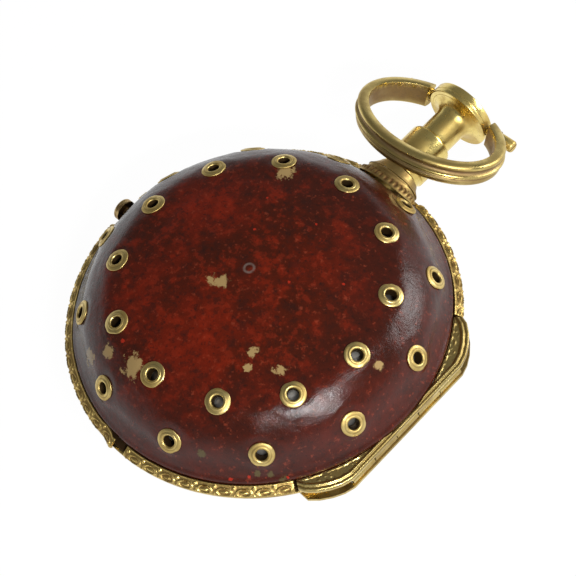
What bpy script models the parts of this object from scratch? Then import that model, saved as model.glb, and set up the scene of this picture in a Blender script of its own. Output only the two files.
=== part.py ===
"""Coach watch in a leather-covered outer case, lying face down with its domed back up."""
import bmesh
import bpy
from math import asin, atan2, cos, hypot, pi, radians, sin, sqrt
from mathutils import Euler, Matrix, Vector

for stale in list(bpy.data.objects):
    bpy.data.objects.remove(stale)

# Sizes in metres, in the frame of the case: its axis is Z, the split between the two
# halves of the outer case is z = 0, the pendant points along +Y and the hinge is on +X
MM = 0.001
GAP = 0.3 * MM
CASE_RADIUS = 60.0 * MM
SPLIT_GAP = 0.2 * MM
CUT_ROOM = 5.0 * MM

# Domed back: leather skin on a brass shell
RIM_STEP = 2.7 * MM
LEATHER_RADIUS = CASE_RADIUS - RIM_STEP
DOME_HEIGHT = 27.2 * MM
DOME_STATIONS = [(0.0, 1.0), (0.3, 0.968), (0.6, 0.866), (0.73, 0.805), (0.82, 0.687), (0.9, 0.51),
                 (0.963, 0.29), (1.0, 0.081)]
LEATHER_THICKNESS = 1.2 * MM
SHELL_THICKNESS = 1.2 * MM
FOOT_INSET = 0.8 * MM
FOOT_RADIUS = CASE_RADIUS - FOOT_INSET
FOOT_TOP = 1.0 * MM
BAND_RISE = 2.3 * MM
BAND_TOP = FOOT_TOP + BAND_RISE
BAND_THICKNESS = 0.6 * MM
NOTCH_ANGLES = (radians(-93.8), radians(-89.4))
BAND_END = radians(5.7)

# Sound-hole eyelets riveted to the shell: two staggered rings of twelve
EYELETS_PER_RING = 12
RING_INSET = 4.6 * MM
RING_STEP = 11.3 * MM
OUTER_RING_RADIUS = LEATHER_RADIUS - RING_INSET
INNER_RING_RADIUS = OUTER_RING_RADIUS - RING_STEP
INNER_RING_TILT = radians(22)
OUTER_RING_TILT = radians(53)
EYELET_TUBE = 2.7 * MM
EYELET_WALL = 1.0 * MM
EYELET_HOLE = EYELET_TUBE - EYELET_WALL
EYELET_BRIM = 1.35 * MM
EYELET_FLANGE = EYELET_TUBE + EYELET_BRIM
EYELET_PROUD = 1.15 * MM

# Hinge of the outer case
HINGE_INSET = 3.0 * MM
HINGE_X = CASE_RADIUS - HINGE_INSET
HINGE_HALF = 23.5 * MM
KNUCKLE_RADIUS = 1.2 * MM
HINGE_Z = -KNUCKLE_RADIUS - 0.1 * MM
HINGE_PIN_RADIUS = 0.5 * MM
KNUCKLE_RELIEF = 0.45 * MM
HINGE_CUT = HINGE_X - KNUCKLE_RADIUS - KNUCKLE_RELIEF
LEAF_THICKNESS = 1.0 * MM
LUG_EDGE = 1.4 * MM
LUG_THICKNESS = 1.2 * MM
LUG_TOP = FOOT_TOP + GAP + LUG_THICKNESS
LUG_WING = 10.84 * MM
LUG_RIM = LEATHER_RADIUS + GAP
LUG_ANGLE = asin((HINGE_HALF + LUG_WING) / LUG_RIM)

# Push button that frees the catch
BUTTON_HEIGHT = 2.0 * MM
BUTTON_RADIUS = 3.6 * MM
BUTTON_PROUD = 1.2 * MM
BUTTON_FACE = CASE_RADIUS + BUTTON_PROUD
BUTTON_CAP = 2.2 * MM
BUTTON_SHANK = 1.3 * MM
BUTTON_STROKE = 0.8 * MM
SHANK_REACH = 4.8 * MM

# Inner case and the bell in it
INNER_CASE_THICKNESS = 1.0 * MM
INNER_CASE_CLEAR = 0.7 * MM
INNER_CASE_EDGE = -3.0 * MM
BOWL_DEPTH = LEATHER_THICKNESS + GAP + SHELL_THICKNESS + INNER_CASE_CLEAR
INNER_WALL = LEATHER_RADIUS - BOWL_DEPTH
INSIDE = INNER_WALL - INNER_CASE_THICKNESS
BELL_THICKNESS = 1.0 * MM

# Pendant: neck and sleeve on the inner case, plunger, disc head, pin and bow
PENDANT_HEIGHT = 3.2 * MM
ROD_RADIUS = 2.4 * MM
ROD_WAY = ROD_RADIUS + GAP + 0.2 * MM
NECK_WALL = 1.5 * MM
NECK_RADIUS = ROD_WAY + NECK_WALL
NECK_FOOT = INNER_WALL + 0.2 * MM
PLUNGER_RADIUS = 5.55 * MM
PLUNGER_STROKE = 5.0 * MM
SLEEVE_WALL = 1.35 * MM
SLEEVE_BORE = PLUNGER_RADIUS + GAP
SLEEVE_RADIUS = SLEEVE_BORE + SLEEVE_WALL
SLEEVE_STAND = 2.4 * MM
SLEEVE_START = CASE_RADIUS + SLEEVE_STAND
SLEEVE_FLOOR = SLEEVE_START + 1.6 * MM
SPRING_WIRE = 0.6 * MM
SPRING_ROOM = 4.6 * MM
SPRING_TURNS = 3
PLUNGER_SHOULDER = SLEEVE_FLOOR + SPRING_ROOM + PLUNGER_STROKE
COLLAR_HALF_WIDTH = 10.8 * MM
COLLAR_HALF_HEIGHT = 6.5 * MM
COLLAR_PART_INSET = 1.229 * MM
HEAD_RADIUS = 11.0 * MM
HEAD_THICKNESS = 4.4 * MM
ROOT_LENGTH = 4.6 * MM
PIN_RADIUS = 1.2 * MM
PIN_HEAD_RADIUS = 1.65 * MM
PIN_STEP = HEAD_RADIUS + 2.8 * MM
PIN_HEAD_LENGTH = 7.4 * MM
PIN_REACH = PIN_STEP + PIN_HEAD_LENGTH
EAR_RADIUS = PIN_HEAD_RADIUS + GAP + 0.25 * MM
EAR_LENGTH = 3.2 * MM
BOW_HALF_WIDTH = 24.0 * MM
BOW_HALF_LENGTH = 17.75 * MM
STRAP_THICKNESS = 3.8 * MM
STRAP_WIDTH = 7.6 * MM
BOW_LEAN = radians(155.0)

# Movement: lower and upper face, and radius
PILLAR_PLATE = (-5.0 * MM, -3.4 * MM, INSIDE - 3.3 * MM)
TOP_PLATE = (9.4 * MM, 10.8 * MM, INSIDE - 10.7 * MM)
DIAL = (-8.8 * MM, -8.0 * MM, INNER_WALL - 6.9 * MM)
PILLAR_RADIUS = 1.6 * MM
PILLAR_ANGLES = (radians(45), radians(130), radians(176), radians(290))
PILLAR_INSET = 2.2 * MM
PILLAR_RING = TOP_PLATE[2] - PILLAR_INSET

# Front of the outer case, and the bull's-eye glass behind it
GLASS_ROOM = 8.2 * MM
FRONT_DEPTH = GLASS_ROOM - DIAL[0]
GLASS_CROWN = FRONT_DEPTH - 0.4 * MM
GLASS_THICKNESS = 1.4 * MM

# Wheel train, motion work and repeating work
SCREW_RADIUS = 0.7 * MM
ARBOR_LOW = PILLAR_PLATE[1] + GAP
ARBOR_HIGH = TOP_PLATE[0] - GAP
GREAT_WHEEL = 16.0 * MM
CENTRE_PINION = 2.6 * MM
CENTRE_WHEEL = 15.0 * MM
THIRD_PINION = 2.4 * MM
THIRD_WHEEL = 12.0 * MM
CONTRATE_PINION = 2.0 * MM
CONTRATE_WHEEL = 8.5 * MM
CROWN_WHEEL = 5.0 * MM
CROWN_PINION = 1.7 * MM
CROWN_HEIGHT = 3.0 * MM
CANNON_PINION = 2.4 * MM
MINUTE_WHEEL = 7.2 * MM
MINUTE_PINION = 2.0 * MM
BARREL_RADIUS = 12.5 * MM
BALANCE_RADIUS = 11.0 * MM
REPEAT_WHEEL = 6.0 * MM
PINION_LEAVES = 6
WHEEL_TEETH = 36
CONTRATE_TEETH = 30
CROWN_TEETH = 15
CANNON_LEAVES = 8
MOTION_TEETH = 24
FUSEE_ANGLE = radians(200.0)
BARREL_SPOT = (-7.6 * MM, -28.5 * MM)
THIRD_ANGLE = radians(60.0)
CONTRATE_ANGLE = radians(-21.0)
HAMMER_PIVOT_INSET = 2.54 * MM
HAMMER_PIVOT_ANGLE = radians(-33.69)
HAMMER_HEAD_ANGLE = radians(-18.08)

# Metals, leather, enamel and glass: base colour, roughness, metallic, alpha
BRASS = ((0.62, 0.45, 0.17), 0.32, 1.0, 1.0)
GILT = ((0.72, 0.52, 0.2), 0.25, 1.0, 1.0)
STEEL = ((0.45, 0.46, 0.48), 0.28, 1.0, 1.0)
BLUED = ((0.05, 0.08, 0.22), 0.25, 1.0, 1.0)
SILVER = ((0.66, 0.65, 0.62), 0.3, 1.0, 1.0)
LEATHER = ((0.16, 0.025, 0.014), 0.32, 0.0, 1.0)
ENAMEL = ((0.88, 0.87, 0.82), 0.15, 0.0, 1.0)
CRYSTAL = ((0.9, 0.93, 0.93), 0.03, 0.0, 0.35)


# Shape helpers
def inset(profile, depth):
    """Move a profile that runs from the pole to the rim inwards along its normals."""
    moved = []
    for i, (r, z) in enumerate(profile):
        if i == 0:
            moved.append((0.0, z - depth))
            continue
        last = i == len(profile) - 1
        before = profile[i - 1]
        after = profile[i] if last else profile[i + 1]
        slope_r = 0.0 if last else after[0] - before[0]
        slope_z = -1.0 if last else after[1] - before[1]
        length = hypot(slope_r, slope_z)
        moved.append((r + slope_z / length * depth, z - slope_r / length * depth))
    return moved


def dome(depth=0.0, above=0.0, skipped=()):
    """Profile of the domed back from its pole, inset by depth, down to a share of its height."""
    stations = [(r * LEATHER_RADIUS, z * DOME_HEIGHT) for r, z in DOME_STATIONS]
    inner = inset(stations, depth)
    return [spot for i, spot in enumerate(inner) if DOME_STATIONS[i][1] >= above and i not in skipped]


def spun(profile, steps=32):
    """Solid of revolution about Z from a closed profile of (radius, height)."""
    bm = bmesh.new()
    dots = [bm.verts.new((r, 0.0, z)) for r, z in profile]
    lines = []
    for i, dot in enumerate(dots):
        other = dots[(i + 1) % len(dots)]
        if dot.co.x > 1e-7 or other.co.x > 1e-7:
            lines.append(bm.edges.new((dot, other)))
    bmesh.ops.spin(bm, geom=dots + lines, cent=(0, 0, 0), axis=(0, 0, 1), angle=2 * pi,
                   steps=steps, use_merge=True)
    bmesh.ops.remove_doubles(bm, verts=bm.verts, dist=1e-6)
    return bm


def lofted(rings, capped=True):
    """Closed solid through matching rings of points."""
    bm = bmesh.new()
    rows = [[bm.verts.new(dot) for dot in ring] for ring in rings]
    pairs = list(zip(rows, rows[1:]))
    if not capped:
        pairs.append((rows[-1], rows[0]))
    for near, far in pairs:
        for i in range(len(near)):
            j = (i + 1) % len(near)
            bm.faces.new((near[i], near[j], far[j], far[i]))
    if capped:
        bm.faces.new(rows[0])
        bm.faces.new(list(reversed(rows[-1])))
    return bm


def swept_arc(profile, start, end, steps):
    """Profile of (radius, height) swept round Z from one angle to another."""
    rings = []
    for i in range(steps + 1):
        a = start + (end - start) * i / steps
        rings.append([(r * cos(a), r * sin(a), z) for r, z in profile])
    return lofted(rings)


def slab(outline, low, high):
    """Flat outline pulled up from one height to another."""
    bm = bmesh.new()
    base = bm.faces.new([bm.verts.new((x, y, low)) for x, y in outline])
    pulled = bmesh.ops.extrude_face_region(bm, geom=[base])
    risen = [item for item in pulled["geom"] if isinstance(item, bmesh.types.BMVert)]
    bmesh.ops.translate(bm, verts=risen, vec=(0, 0, high - low))
    return bm


def circle(radius, x=0.0, y=0.0, steps=16, start=0.0, end=2 * pi):
    """Points round a circle, or along an arc when the end isn't a full turn."""
    full = abs(end - start - 2 * pi) < 1e-6
    count = steps if full else steps + 1
    return [(x + radius * cos(start + (end - start) * i / steps),
             y + radius * sin(start + (end - start) * i / steps)) for i in range(count)]


def toothed(teeth, tip, depth, x=0.0, y=0.0):
    """Outline of a wheel with pointed teeth."""
    dots = []
    for i in range(2 * teeth):
        r = tip if i % 2 == 0 else tip - depth
        a = pi * i / teeth
        dots.append((x + r * cos(a), y + r * sin(a)))
    return dots


def box(low, high):
    """Box between two corners."""
    bm = bmesh.new()
    size = [high[i] - low[i] for i in range(3)]
    middle = [(high[i] + low[i]) / 2 for i in range(3)]
    place = Matrix.Translation(middle) @ Matrix.Diagonal((size[0], size[1], size[2], 1.0))
    bmesh.ops.create_cube(bm, size=1.0, matrix=place)
    return bm


def rod(radius, start, end, steps=12, far_radius=None):
    """Round bar between two points."""
    bm = bmesh.new()
    start = Vector(start)
    end = Vector(end)
    turn = (end - start).to_track_quat("Z", "Y").to_matrix().to_4x4()
    place = Matrix.Translation((start + end) / 2) @ turn
    far = radius if far_radius is None else far_radius
    bmesh.ops.create_cone(bm, cap_ends=True, segments=steps, radius1=radius, radius2=far,
                          depth=(end - start).length, matrix=place)
    return bm


def together(parts):
    """Several separate closed solids in one mesh."""
    whole = bmesh.new()
    for part in parts:
        scratch = bpy.data.meshes.new("scratch")
        part.to_mesh(scratch)
        part.free()
        whole.from_mesh(scratch)
        bpy.data.meshes.remove(scratch)
    return whole


def turned(bm, matrix):
    """Move a mesh by a matrix."""
    bmesh.ops.transform(bm, matrix=matrix, verts=bm.verts)
    return bm


def arch(half, foot, centre, steps=12):
    """Outline of a slot with straight sides and a round top."""
    dots = [(-half, foot), (half, foot)]
    for i in range(steps + 1):
        a = pi * i / steps
        dots.append((half * cos(a), centre + half * sin(a)))
    return dots


# Points of the bow, in its own frame: X along the pin, Y away from it, Z across the strap
def strap_ring(t):
    """Section of the strap at one place round the bow."""
    x = BOW_HALF_WIDTH * sin(t)
    y = BOW_CENTRE - BOW_HALF_LENGTH * cos(t)
    out = Vector((BOW_HALF_LENGTH * sin(t), -BOW_HALF_WIDTH * cos(t), 0.0)).normalized()
    half_t = STRAP_THICKNESS / 2
    half_w = STRAP_WIDTH / 2
    shape = [(-half_t, -half_w), (half_t * 0.4, -half_w), (half_t * 0.75, -half_w * 0.6),
             (half_t, -half_w * 0.25), (half_t, half_w * 0.25), (half_t * 0.75, half_w * 0.6),
             (half_t * 0.4, half_w), (-half_t, half_w)]
    return [Vector((x, y, 0.0)) + out * u + Vector((0.0, 0.0, w)) for u, w in shape]


BOW_END_X = HEAD_RADIUS + GAP + 0.8 * MM
BOW_START = asin(BOW_END_X / BOW_HALF_WIDTH)
BOW_CENTRE = BOW_HALF_LENGTH * cos(BOW_START) + 0.17 * MM
BOW_STEPS = 36
BOW_RINGS = [strap_ring(BOW_START + (2 * pi - 2 * BOW_START) * i / BOW_STEPS) for i in range(BOW_STEPS + 1)]
BOW_TURN = Matrix.Rotation(BOW_LEAN, 4, "X")
BOW_REACH = -min((BOW_TURN @ dot).y for ring in BOW_RINGS for dot in ring)

# The leaning bow ends just past the collar's parting, and the pendant is as long as that asks
COLLAR_PART = CASE_RADIUS - COLLAR_PART_INSET
BOW_PIVOT = COLLAR_PART + GAP + BOW_REACH
ROOT_END = BOW_PIVOT - HEAD_THICKNESS / 2 - GAP
ROOT_START = ROOT_END - ROOT_LENGTH
SLEEVE_END = ROOT_START - PLUNGER_STROKE - 1.7 * MM
NORTH = BOW_PIVOT + HEAD_THICKNESS / 2
CASE_SPOT = (-(HINGE_X + KNUCKLE_RADIUS - BUTTON_FACE) / 2, -(NORTH - CASE_RADIUS) / 2, FRONT_DEPTH)

# Empties: the case, and one on each moving piece's axis
SPOTS = {}


def stand(name, spot, parent=None):
    """Empty at a spot given in the frame of the case."""
    empty = bpy.data.objects.new(name, None)
    bpy.context.scene.collection.objects.link(empty)
    SPOTS[name] = Vector(spot)
    empty.parent = parent
    empty.location = Vector(CASE_SPOT) if parent is None else Vector(spot) - SPOTS[parent.name]
    return empty


def piece(name, bm, look, holder, place=(0, 0, 0), turn=(0, 0, 0)):
    """Named sub-part with its own material, held by an empty."""
    bmesh.ops.recalc_face_normals(bm, faces=bm.faces)
    mesh = bpy.data.meshes.new(name)
    bm.to_mesh(mesh)
    bm.free()
    colour, roughness, metallic, alpha = look
    paint = bpy.data.materials.new(name)
    paint.use_nodes = True
    shader = paint.node_tree.nodes["Principled BSDF"]
    shader.inputs["Base Color"].default_value = (*colour, 1.0)
    shader.inputs["Roughness"].default_value = roughness
    shader.inputs["Metallic"].default_value = metallic
    shader.inputs["Alpha"].default_value = alpha
    mesh.materials.append(paint)
    made = bpy.data.objects.new(name, mesh)
    bpy.context.scene.collection.objects.link(made)
    made.parent = holder
    made.location = Vector(place) - SPOTS[holder.name]
    made.rotation_euler = Euler(turn)
    return made


def shape_with(target, bm, operation="DIFFERENCE"):
    """Cut a solid from a sub-part, or weld one on, both given in the frame of the case."""
    bmesh.ops.recalc_face_normals(bm, faces=bm.faces)
    count = len(target.modifiers)
    mesh = bpy.data.meshes.new(f"tool_{target.name}_{count}")
    bm.to_mesh(mesh)
    bm.free()
    tool = bpy.data.objects.new(mesh.name, mesh)
    bpy.context.scene.collection.objects.link(tool)
    tool.parent = CASE
    tool.hide_render = True
    tool.display_type = "WIRE"
    change = target.modifiers.new(mesh.name, "BOOLEAN")
    change.operation = operation
    change.solver = "EXACT"
    change.object = tool


CASE = stand("case_axis", (0, 0, 0))
BACK = stand("back_hinge_axis", (HINGE_X, 0, HINGE_Z), CASE)
BUTTON = stand("button_axis", (-BUTTON_FACE, 0, BUTTON_HEIGHT), BACK)
PLUNGER = stand("plunger_axis", (0, BOW_PIVOT, PENDANT_HEIGHT), CASE)
BOW = stand("bow_axis", (0, BOW_PIVOT, PENDANT_HEIGHT), PLUNGER)

# Directions in which turned parts are laid: local Z along +Y, or along -X
ALONG_Y = Matrix.Translation((0, 0, PENDANT_HEIGHT)) @ Matrix.Rotation(radians(-90), 4, "X")
ALONG_X = Matrix.Translation((0, 0, BUTTON_HEIGHT)) @ Matrix.Rotation(radians(-90), 4, "Y")


# Leather-covered back of the outer case
SLOT_HALF = NECK_RADIUS + GAP + 0.1 * MM
WELL_INSIDE = INNER_WALL - CUT_ROOM
WELL_OUTSIDE = CASE_RADIUS + CUT_ROOM


def passage():
    """Slot through the case wall at the pendant, open towards the split."""
    outline = arch(SLOT_HALF, -CUT_ROOM, PENDANT_HEIGHT)
    return lofted([[(x, y, z) for x, z in outline] for y in (WELL_INSIDE, WELL_OUTSIDE)])


def neck_way():
    """Round hole for the neck through a wall of the case."""
    return rod(SLOT_HALF, (0, WELL_INSIDE, PENDANT_HEIGHT), (0, WELL_OUTSIDE, PENDANT_HEIGHT), 24)


def shank_way():
    """Slot through the case wall for the button's shank."""
    outline = arch(BUTTON_SHANK + GAP, -CUT_ROOM, BUTTON_HEIGHT)
    return lofted([[(x, y, z) for y, z in outline] for x in (-WELL_OUTSIDE, -WELL_INSIDE)])


def height_at(profile, radius):
    """Height of a profile that runs from its pole outwards, at one radius."""
    for (near_r, near_z), (far_r, far_z) in zip(profile, profile[1:]):
        if near_r <= radius < far_r:
            return near_z + (radius - near_r) / (far_r - near_r) * (far_z - near_z)
    return profile[-1][1]


def eyelet_frames():
    """Place and tilt of each eyelet on the dome."""
    frames = []
    for radius, first, tilt in ((INNER_RING_RADIUS, radians(90), INNER_RING_TILT),
                                (OUTER_RING_RADIUS, radians(75), OUTER_RING_TILT)):
        height = height_at(dome(), radius)
        for k in range(EYELETS_PER_RING):
            a = first + 2 * pi * k / EYELETS_PER_RING
            spot = Matrix.Translation((radius * cos(a), radius * sin(a), height))
            frames.append(spot @ Matrix.Rotation(a, 4, "Z") @ Matrix.Rotation(tilt, 4, "Y"))
    return frames


EYELETS = eyelet_frames()
HOLE_RADIUS = (EYELET_TUBE + GAP) / cos(pi / 6) - 0.1 * MM


def eyelet_holes():
    """Round tools for all the sound holes."""
    drill = ((0, 0, -6 * MM), (0, 0, 4 * MM))
    return together([turned(rod(HOLE_RADIUS, *drill, 6), frame) for frame in EYELETS])


leather_outer = dome()
leather_inner = dome(LEATHER_THICKNESS)
leather = piece("leather_cover", spun(leather_outer + leather_inner[::-1]), LEATHER, BACK)
shape_with(leather, eyelet_holes())
shape_with(leather, passage())
shape_with(leather, shank_way())

shell_outer = dome(LEATHER_THICKNESS + GAP)
shell_inner = dome(LEATHER_THICKNESS + GAP + SHELL_THICKNESS)
wall_outer = shell_outer[-1][0]
wall_inner = shell_inner[-1][0]
foot = [(wall_outer, FOOT_TOP), (FOOT_RADIUS, FOOT_TOP), (FOOT_RADIUS, SPLIT_GAP), (wall_inner, SPLIT_GAP)]
shell = piece("back_shell", spun(shell_outer + foot + shell_inner[::-1]), BRASS, BACK)
eyelet_end = -LEATHER_THICKNESS - GAP - SHELL_THICKNESS / 2
eyelet_profile = [(0, eyelet_end), (EYELET_TUBE, eyelet_end), (EYELET_TUBE, 0.3 * MM),
                  (EYELET_FLANGE, 0.2 * MM), (EYELET_FLANGE - 0.9 * MM, EYELET_PROUD), (0, EYELET_PROUD)]
shape_with(shell, together([turned(spun(eyelet_profile, 8), frame) for frame in EYELETS]), "UNION")
bore_ends = ((0, 0, eyelet_end - 3 * MM), (0, 0, EYELET_PROUD + 1 * MM))
bores = [turned(rod(EYELET_HOLE, *bore_ends, 8, EYELET_TUBE), frame) for frame in EYELETS]
shape_with(shell, together(bores))
shape_with(shell, passage())
COLLAR_CLEAR = COLLAR_HALF_WIDTH + 2 * GAP
flange_low = -SPLIT_GAP
flange_high = FOOT_TOP + 1 * MM
flange_start = wall_outer + 0.1 * MM
shape_with(shell, box((-COLLAR_CLEAR, flange_start, flange_low), (COLLAR_CLEAR, WELL_OUTSIDE, flange_high)))
shape_with(shell, shank_way())
hinge_way = HINGE_HALF + 0.5 * MM
shape_with(shell, box((HINGE_CUT, -hinge_way, flange_low), (WELL_OUTSIDE, hinge_way, flange_high)))


def cap_way():
    """Round seat for the button's cap, deep enough for its stroke."""
    seat = BUTTON_FACE - BUTTON_CAP - BUTTON_STROKE - GAP
    return turned(rod(BUTTON_RADIUS + GAP + 0.1 * MM, (0, 0, seat), (0, 0, WELL_OUTSIDE), 20), ALONG_X)


shape_with(shell, cap_way())

# Stamped rim band bent round the foot of the back, parted at pendant, button, split and hinge
lip = LEATHER_RADIUS + 0.45 * MM
band_profile = [(CASE_RADIUS, SPLIT_GAP), (CASE_RADIUS, FOOT_TOP), (lip + 0.75 * MM, BAND_TOP - 0.4 * MM),
                (lip, BAND_TOP), (lip, BAND_TOP - BAND_THICKNESS), (FOOT_RADIUS + GAP, FOOT_TOP + 0.2 * MM),
                (FOOT_RADIUS + GAP, SPLIT_GAP)]
collar_turn = atan2(COLLAR_CLEAR, LEATHER_RADIUS)
lug_turn = LUG_ANGLE + radians(0.9)
notch_start = 2 * pi + NOTCH_ANGLES[0]
for band_name, start, end, steps in (("rim_band_hinge_to_pendant", lug_turn, pi / 2 - collar_turn, 5),
                                     ("rim_band_pendant_to_button", pi / 2 + collar_turn, pi - BAND_END, 9),
                                     ("rim_band_button_to_split", pi + BAND_END, notch_start, 10),
                                     ("rim_band_split_to_hinge", NOTCH_ANGLES[1], -lug_turn, 7)):
    piece(band_name, swept_arc(band_profile, start, end, steps), GILT, BACK)

# Shaped hinge lug on the back with its two knuckles
straight = HINGE_X + LUG_EDGE
lug_steps = [(0.0, 0.0), (1.0, 3.3), (2.8, 6.5), (5.2, 9.5), (7.8, 11.7), (9.9, 12.4)]
lug_corner = [(straight - x * MM, HINGE_HALF + y * MM) for x, y in lug_steps]
lug_outer = [(x, -y) for x, y in lug_corner[::-1]] + lug_corner
lug_arc = circle(LUG_RIM, steps=16, start=LUG_ANGLE, end=-LUG_ANGLE)
lug = piece("back_hinge_lug", slab(lug_outer + lug_arc, LUG_TOP - LUG_THICKNESS, LUG_TOP), GILT, BACK)
fifth = 2 * HINGE_HALF / 5
KNUCKLE_POINTS = 12
KNUCKLE_START = radians(35)
arm_low_x = HINGE_CUT + GAP
arm_top = FOOT_TOP + 0.9 * MM
for step in (1, 3):
    near = -HINGE_HALF + step * fifth + GAP / 2
    far = near + fifth - GAP
    section = [(arm_low_x, HINGE_Z), (arm_low_x, arm_top), (straight - 0.02 * MM, arm_top)]
    for i in range(KNUCKLE_POINTS + 1):
        a = KNUCKLE_START - (KNUCKLE_START + pi) * i / KNUCKLE_POINTS
        section.append((HINGE_X + KNUCKLE_RADIUS * cos(a), HINGE_Z + KNUCKLE_RADIUS * sin(a)))
    section.pop()
    shape_with(lug, lofted([[(x, y, z) for x, z in section] for y in (near, far)]), "UNION")


def pin_way():
    """Hole for the hinge pin through all the knuckles."""
    reach = HINGE_HALF + CUT_ROOM
    return rod(HINGE_PIN_RADIUS + GAP, (HINGE_X, -reach, HINGE_Z), (HINGE_X, reach, HINGE_Z), 10)


shape_with(lug, pin_way())

# Front half of the outer case
front_wall = CASE_RADIUS - 4.4 * MM
bezel_profile = [(CASE_RADIUS, -SPLIT_GAP), (CASE_RADIUS, -1.4 * MM), (CASE_RADIUS - 1.4 * MM, -2.2 * MM),
                 (CASE_RADIUS - 3.2 * MM, 12.0 * MM - FRONT_DEPTH),
                 (CASE_RADIUS - 5.7 * MM, 8.0 * MM - FRONT_DEPTH),
                 (CASE_RADIUS - 8.2 * MM, 4.2 * MM - FRONT_DEPTH),
                 (CASE_RADIUS - 9.8 * MM, 1.6 * MM - FRONT_DEPTH), (CASE_RADIUS - 10.5 * MM, -FRONT_DEPTH),
                 (CASE_RADIUS - 11.8 * MM, -FRONT_DEPTH),
                 (CASE_RADIUS - 11.0 * MM, 2.4 * MM - FRONT_DEPTH),
                 (CASE_RADIUS - 6.9 * MM, 8.0 * MM - FRONT_DEPTH), (front_wall, 11.6 * MM - FRONT_DEPTH),
                 (front_wall, -SPLIT_GAP)]
bezel = piece("outer_bezel", spun(bezel_profile, 44), GILT, CASE)
leaf_top = HINGE_Z - KNUCKLE_RADIUS - GAP
leaf_low = leaf_top - LEAF_THICKNESS
leaf_way = HINGE_HALF + 2 * MM
shape_with(bezel, box((HINGE_CUT, -leaf_way, leaf_low - GAP), (WELL_OUTSIDE, leaf_way, SPLIT_GAP)))
shape_with(bezel, neck_way())
shape_with(bezel, cap_way())

# Front leaf of the hinge, with three knuckles, and the pin
leaf_rim = CASE_RADIUS - 1.4 * MM
meet = atan2(sqrt(leaf_rim ** 2 - arm_low_x ** 2), arm_low_x)
leaf_arc = circle(leaf_rim, steps=4, start=LUG_ANGLE, end=meet)
leaf_inner = leaf_arc + [(x, -y) for x, y in leaf_arc[::-1]]
leaf = piece("bezel_hinge_leaf", slab(lug_outer[1:-1] + leaf_inner, leaf_low, leaf_top), GILT, CASE)
for step in (0, 2, 4):
    near = -HINGE_HALF + step * fifth + GAP / 2
    far = near + fifth - GAP
    root = leaf_top - 0.4 * MM
    section = [(arm_low_x, HINGE_Z), (arm_low_x, root), (HINGE_X + 0.38 * MM, root)]
    for i in range(KNUCKLE_POINTS + 1):
        a = radians(-75) + radians(255) * i / KNUCKLE_POINTS
        section.append((HINGE_X + KNUCKLE_RADIUS * cos(a), HINGE_Z + KNUCKLE_RADIUS * sin(a)))
    section.pop()
    shape_with(leaf, lofted([[(x, y, z) for x, z in section] for y in (near, far)]), "UNION")
shape_with(leaf, pin_way())
pin_half = HINGE_HALF + 0.2 * MM
pin_ends = ((HINGE_X, -pin_half, HINGE_Z), (HINGE_X, pin_half, HINGE_Z))
piece("hinge_pin", rod(HINGE_PIN_RADIUS, *pin_ends, 10), STEEL, CASE)

# Catch spring inside the front half, opposite the hinge
catch_out = front_wall - GAP
catch_in = catch_out - 0.6 * MM
catch_profile = [(catch_out, -5.2 * MM), (catch_out, -0.7 * MM),
                 (catch_in, -0.7 * MM), (catch_in, -5.2 * MM)]
piece("catch_spring", swept_arc(catch_profile, radians(168), radians(192), 8), STEEL, CASE)

# Push button
button_profile = [(0, BUTTON_FACE), (BUTTON_RADIUS - 0.5 * MM, BUTTON_FACE - 0.15 * MM),
                  (BUTTON_RADIUS, BUTTON_FACE - 0.5 * MM), (BUTTON_RADIUS, BUTTON_FACE - BUTTON_CAP),
                  (BUTTON_SHANK, BUTTON_FACE - BUTTON_CAP), (BUTTON_SHANK, CASE_RADIUS - SHANK_REACH),
                  (0, CASE_RADIUS - SHANK_REACH)]
piece("catch_button", turned(spun(button_profile, 20), ALONG_X), BRASS, BUTTON)

# Pendant of the inner case: neck and sleeve in one, with an oval collar round the neck
sleeve_profile = [(ROD_WAY, NECK_FOOT), (NECK_RADIUS, NECK_FOOT), (NECK_RADIUS, SLEEVE_START),
                  (SLEEVE_RADIUS - 0.4 * MM, SLEEVE_START), (SLEEVE_RADIUS, SLEEVE_START + 0.6 * MM),
                  (SLEEVE_RADIUS, SLEEVE_END - 0.7 * MM), (SLEEVE_RADIUS - 0.6 * MM, SLEEVE_END),
                  (SLEEVE_BORE, SLEEVE_END), (SLEEVE_BORE, SLEEVE_FLOOR), (ROD_WAY, SLEEVE_FLOOR)]
piece("pendant_sleeve", turned(spun(sleeve_profile, 24), ALONG_Y), BRASS, CASE)

# Oval collar round the neck, split between the two halves of the outer case
def oval(y, half_width, half_height, hug):
    """Ring of the collar, bent back by a share of the dome's own curve."""
    dots = []
    for i in range(32):
        x = half_width * cos(2 * pi * i / 32)
        w = half_height * sin(2 * pi * i / 32)
        bend = hug * (52.0 * max(w, 0.0) ** 2 + 8.7 * x ** 2)
        dots.append((x, y - bend, PENDANT_HEIGHT + w))
    return dots


COLLAR_STEPS = [(-10.0, 1.0, 1.0, 0.0), (-1.6, 1.0, 1.0, 1.0), (-1.2, 0.89, 0.94, 1.0),
                (-0.2, 0.88, 1.01, 0.7), (0.4, 0.83, 0.97, 0.5), (1.2, 0.73, 0.94, 0.2),
                (2.1, 0.68, 0.92, 0.0)]
collar_rings = [oval(CASE_RADIUS + y * MM, COLLAR_HALF_WIDTH * x, COLLAR_HALF_HEIGHT * z, hug)
                for y, x, z, hug in COLLAR_STEPS]
far_out = SLEEVE_END
around = dome(-GAP) + [(LEATHER_RADIUS + GAP, -FRONT_DEPTH), (0, -FRONT_DEPTH)]
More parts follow.
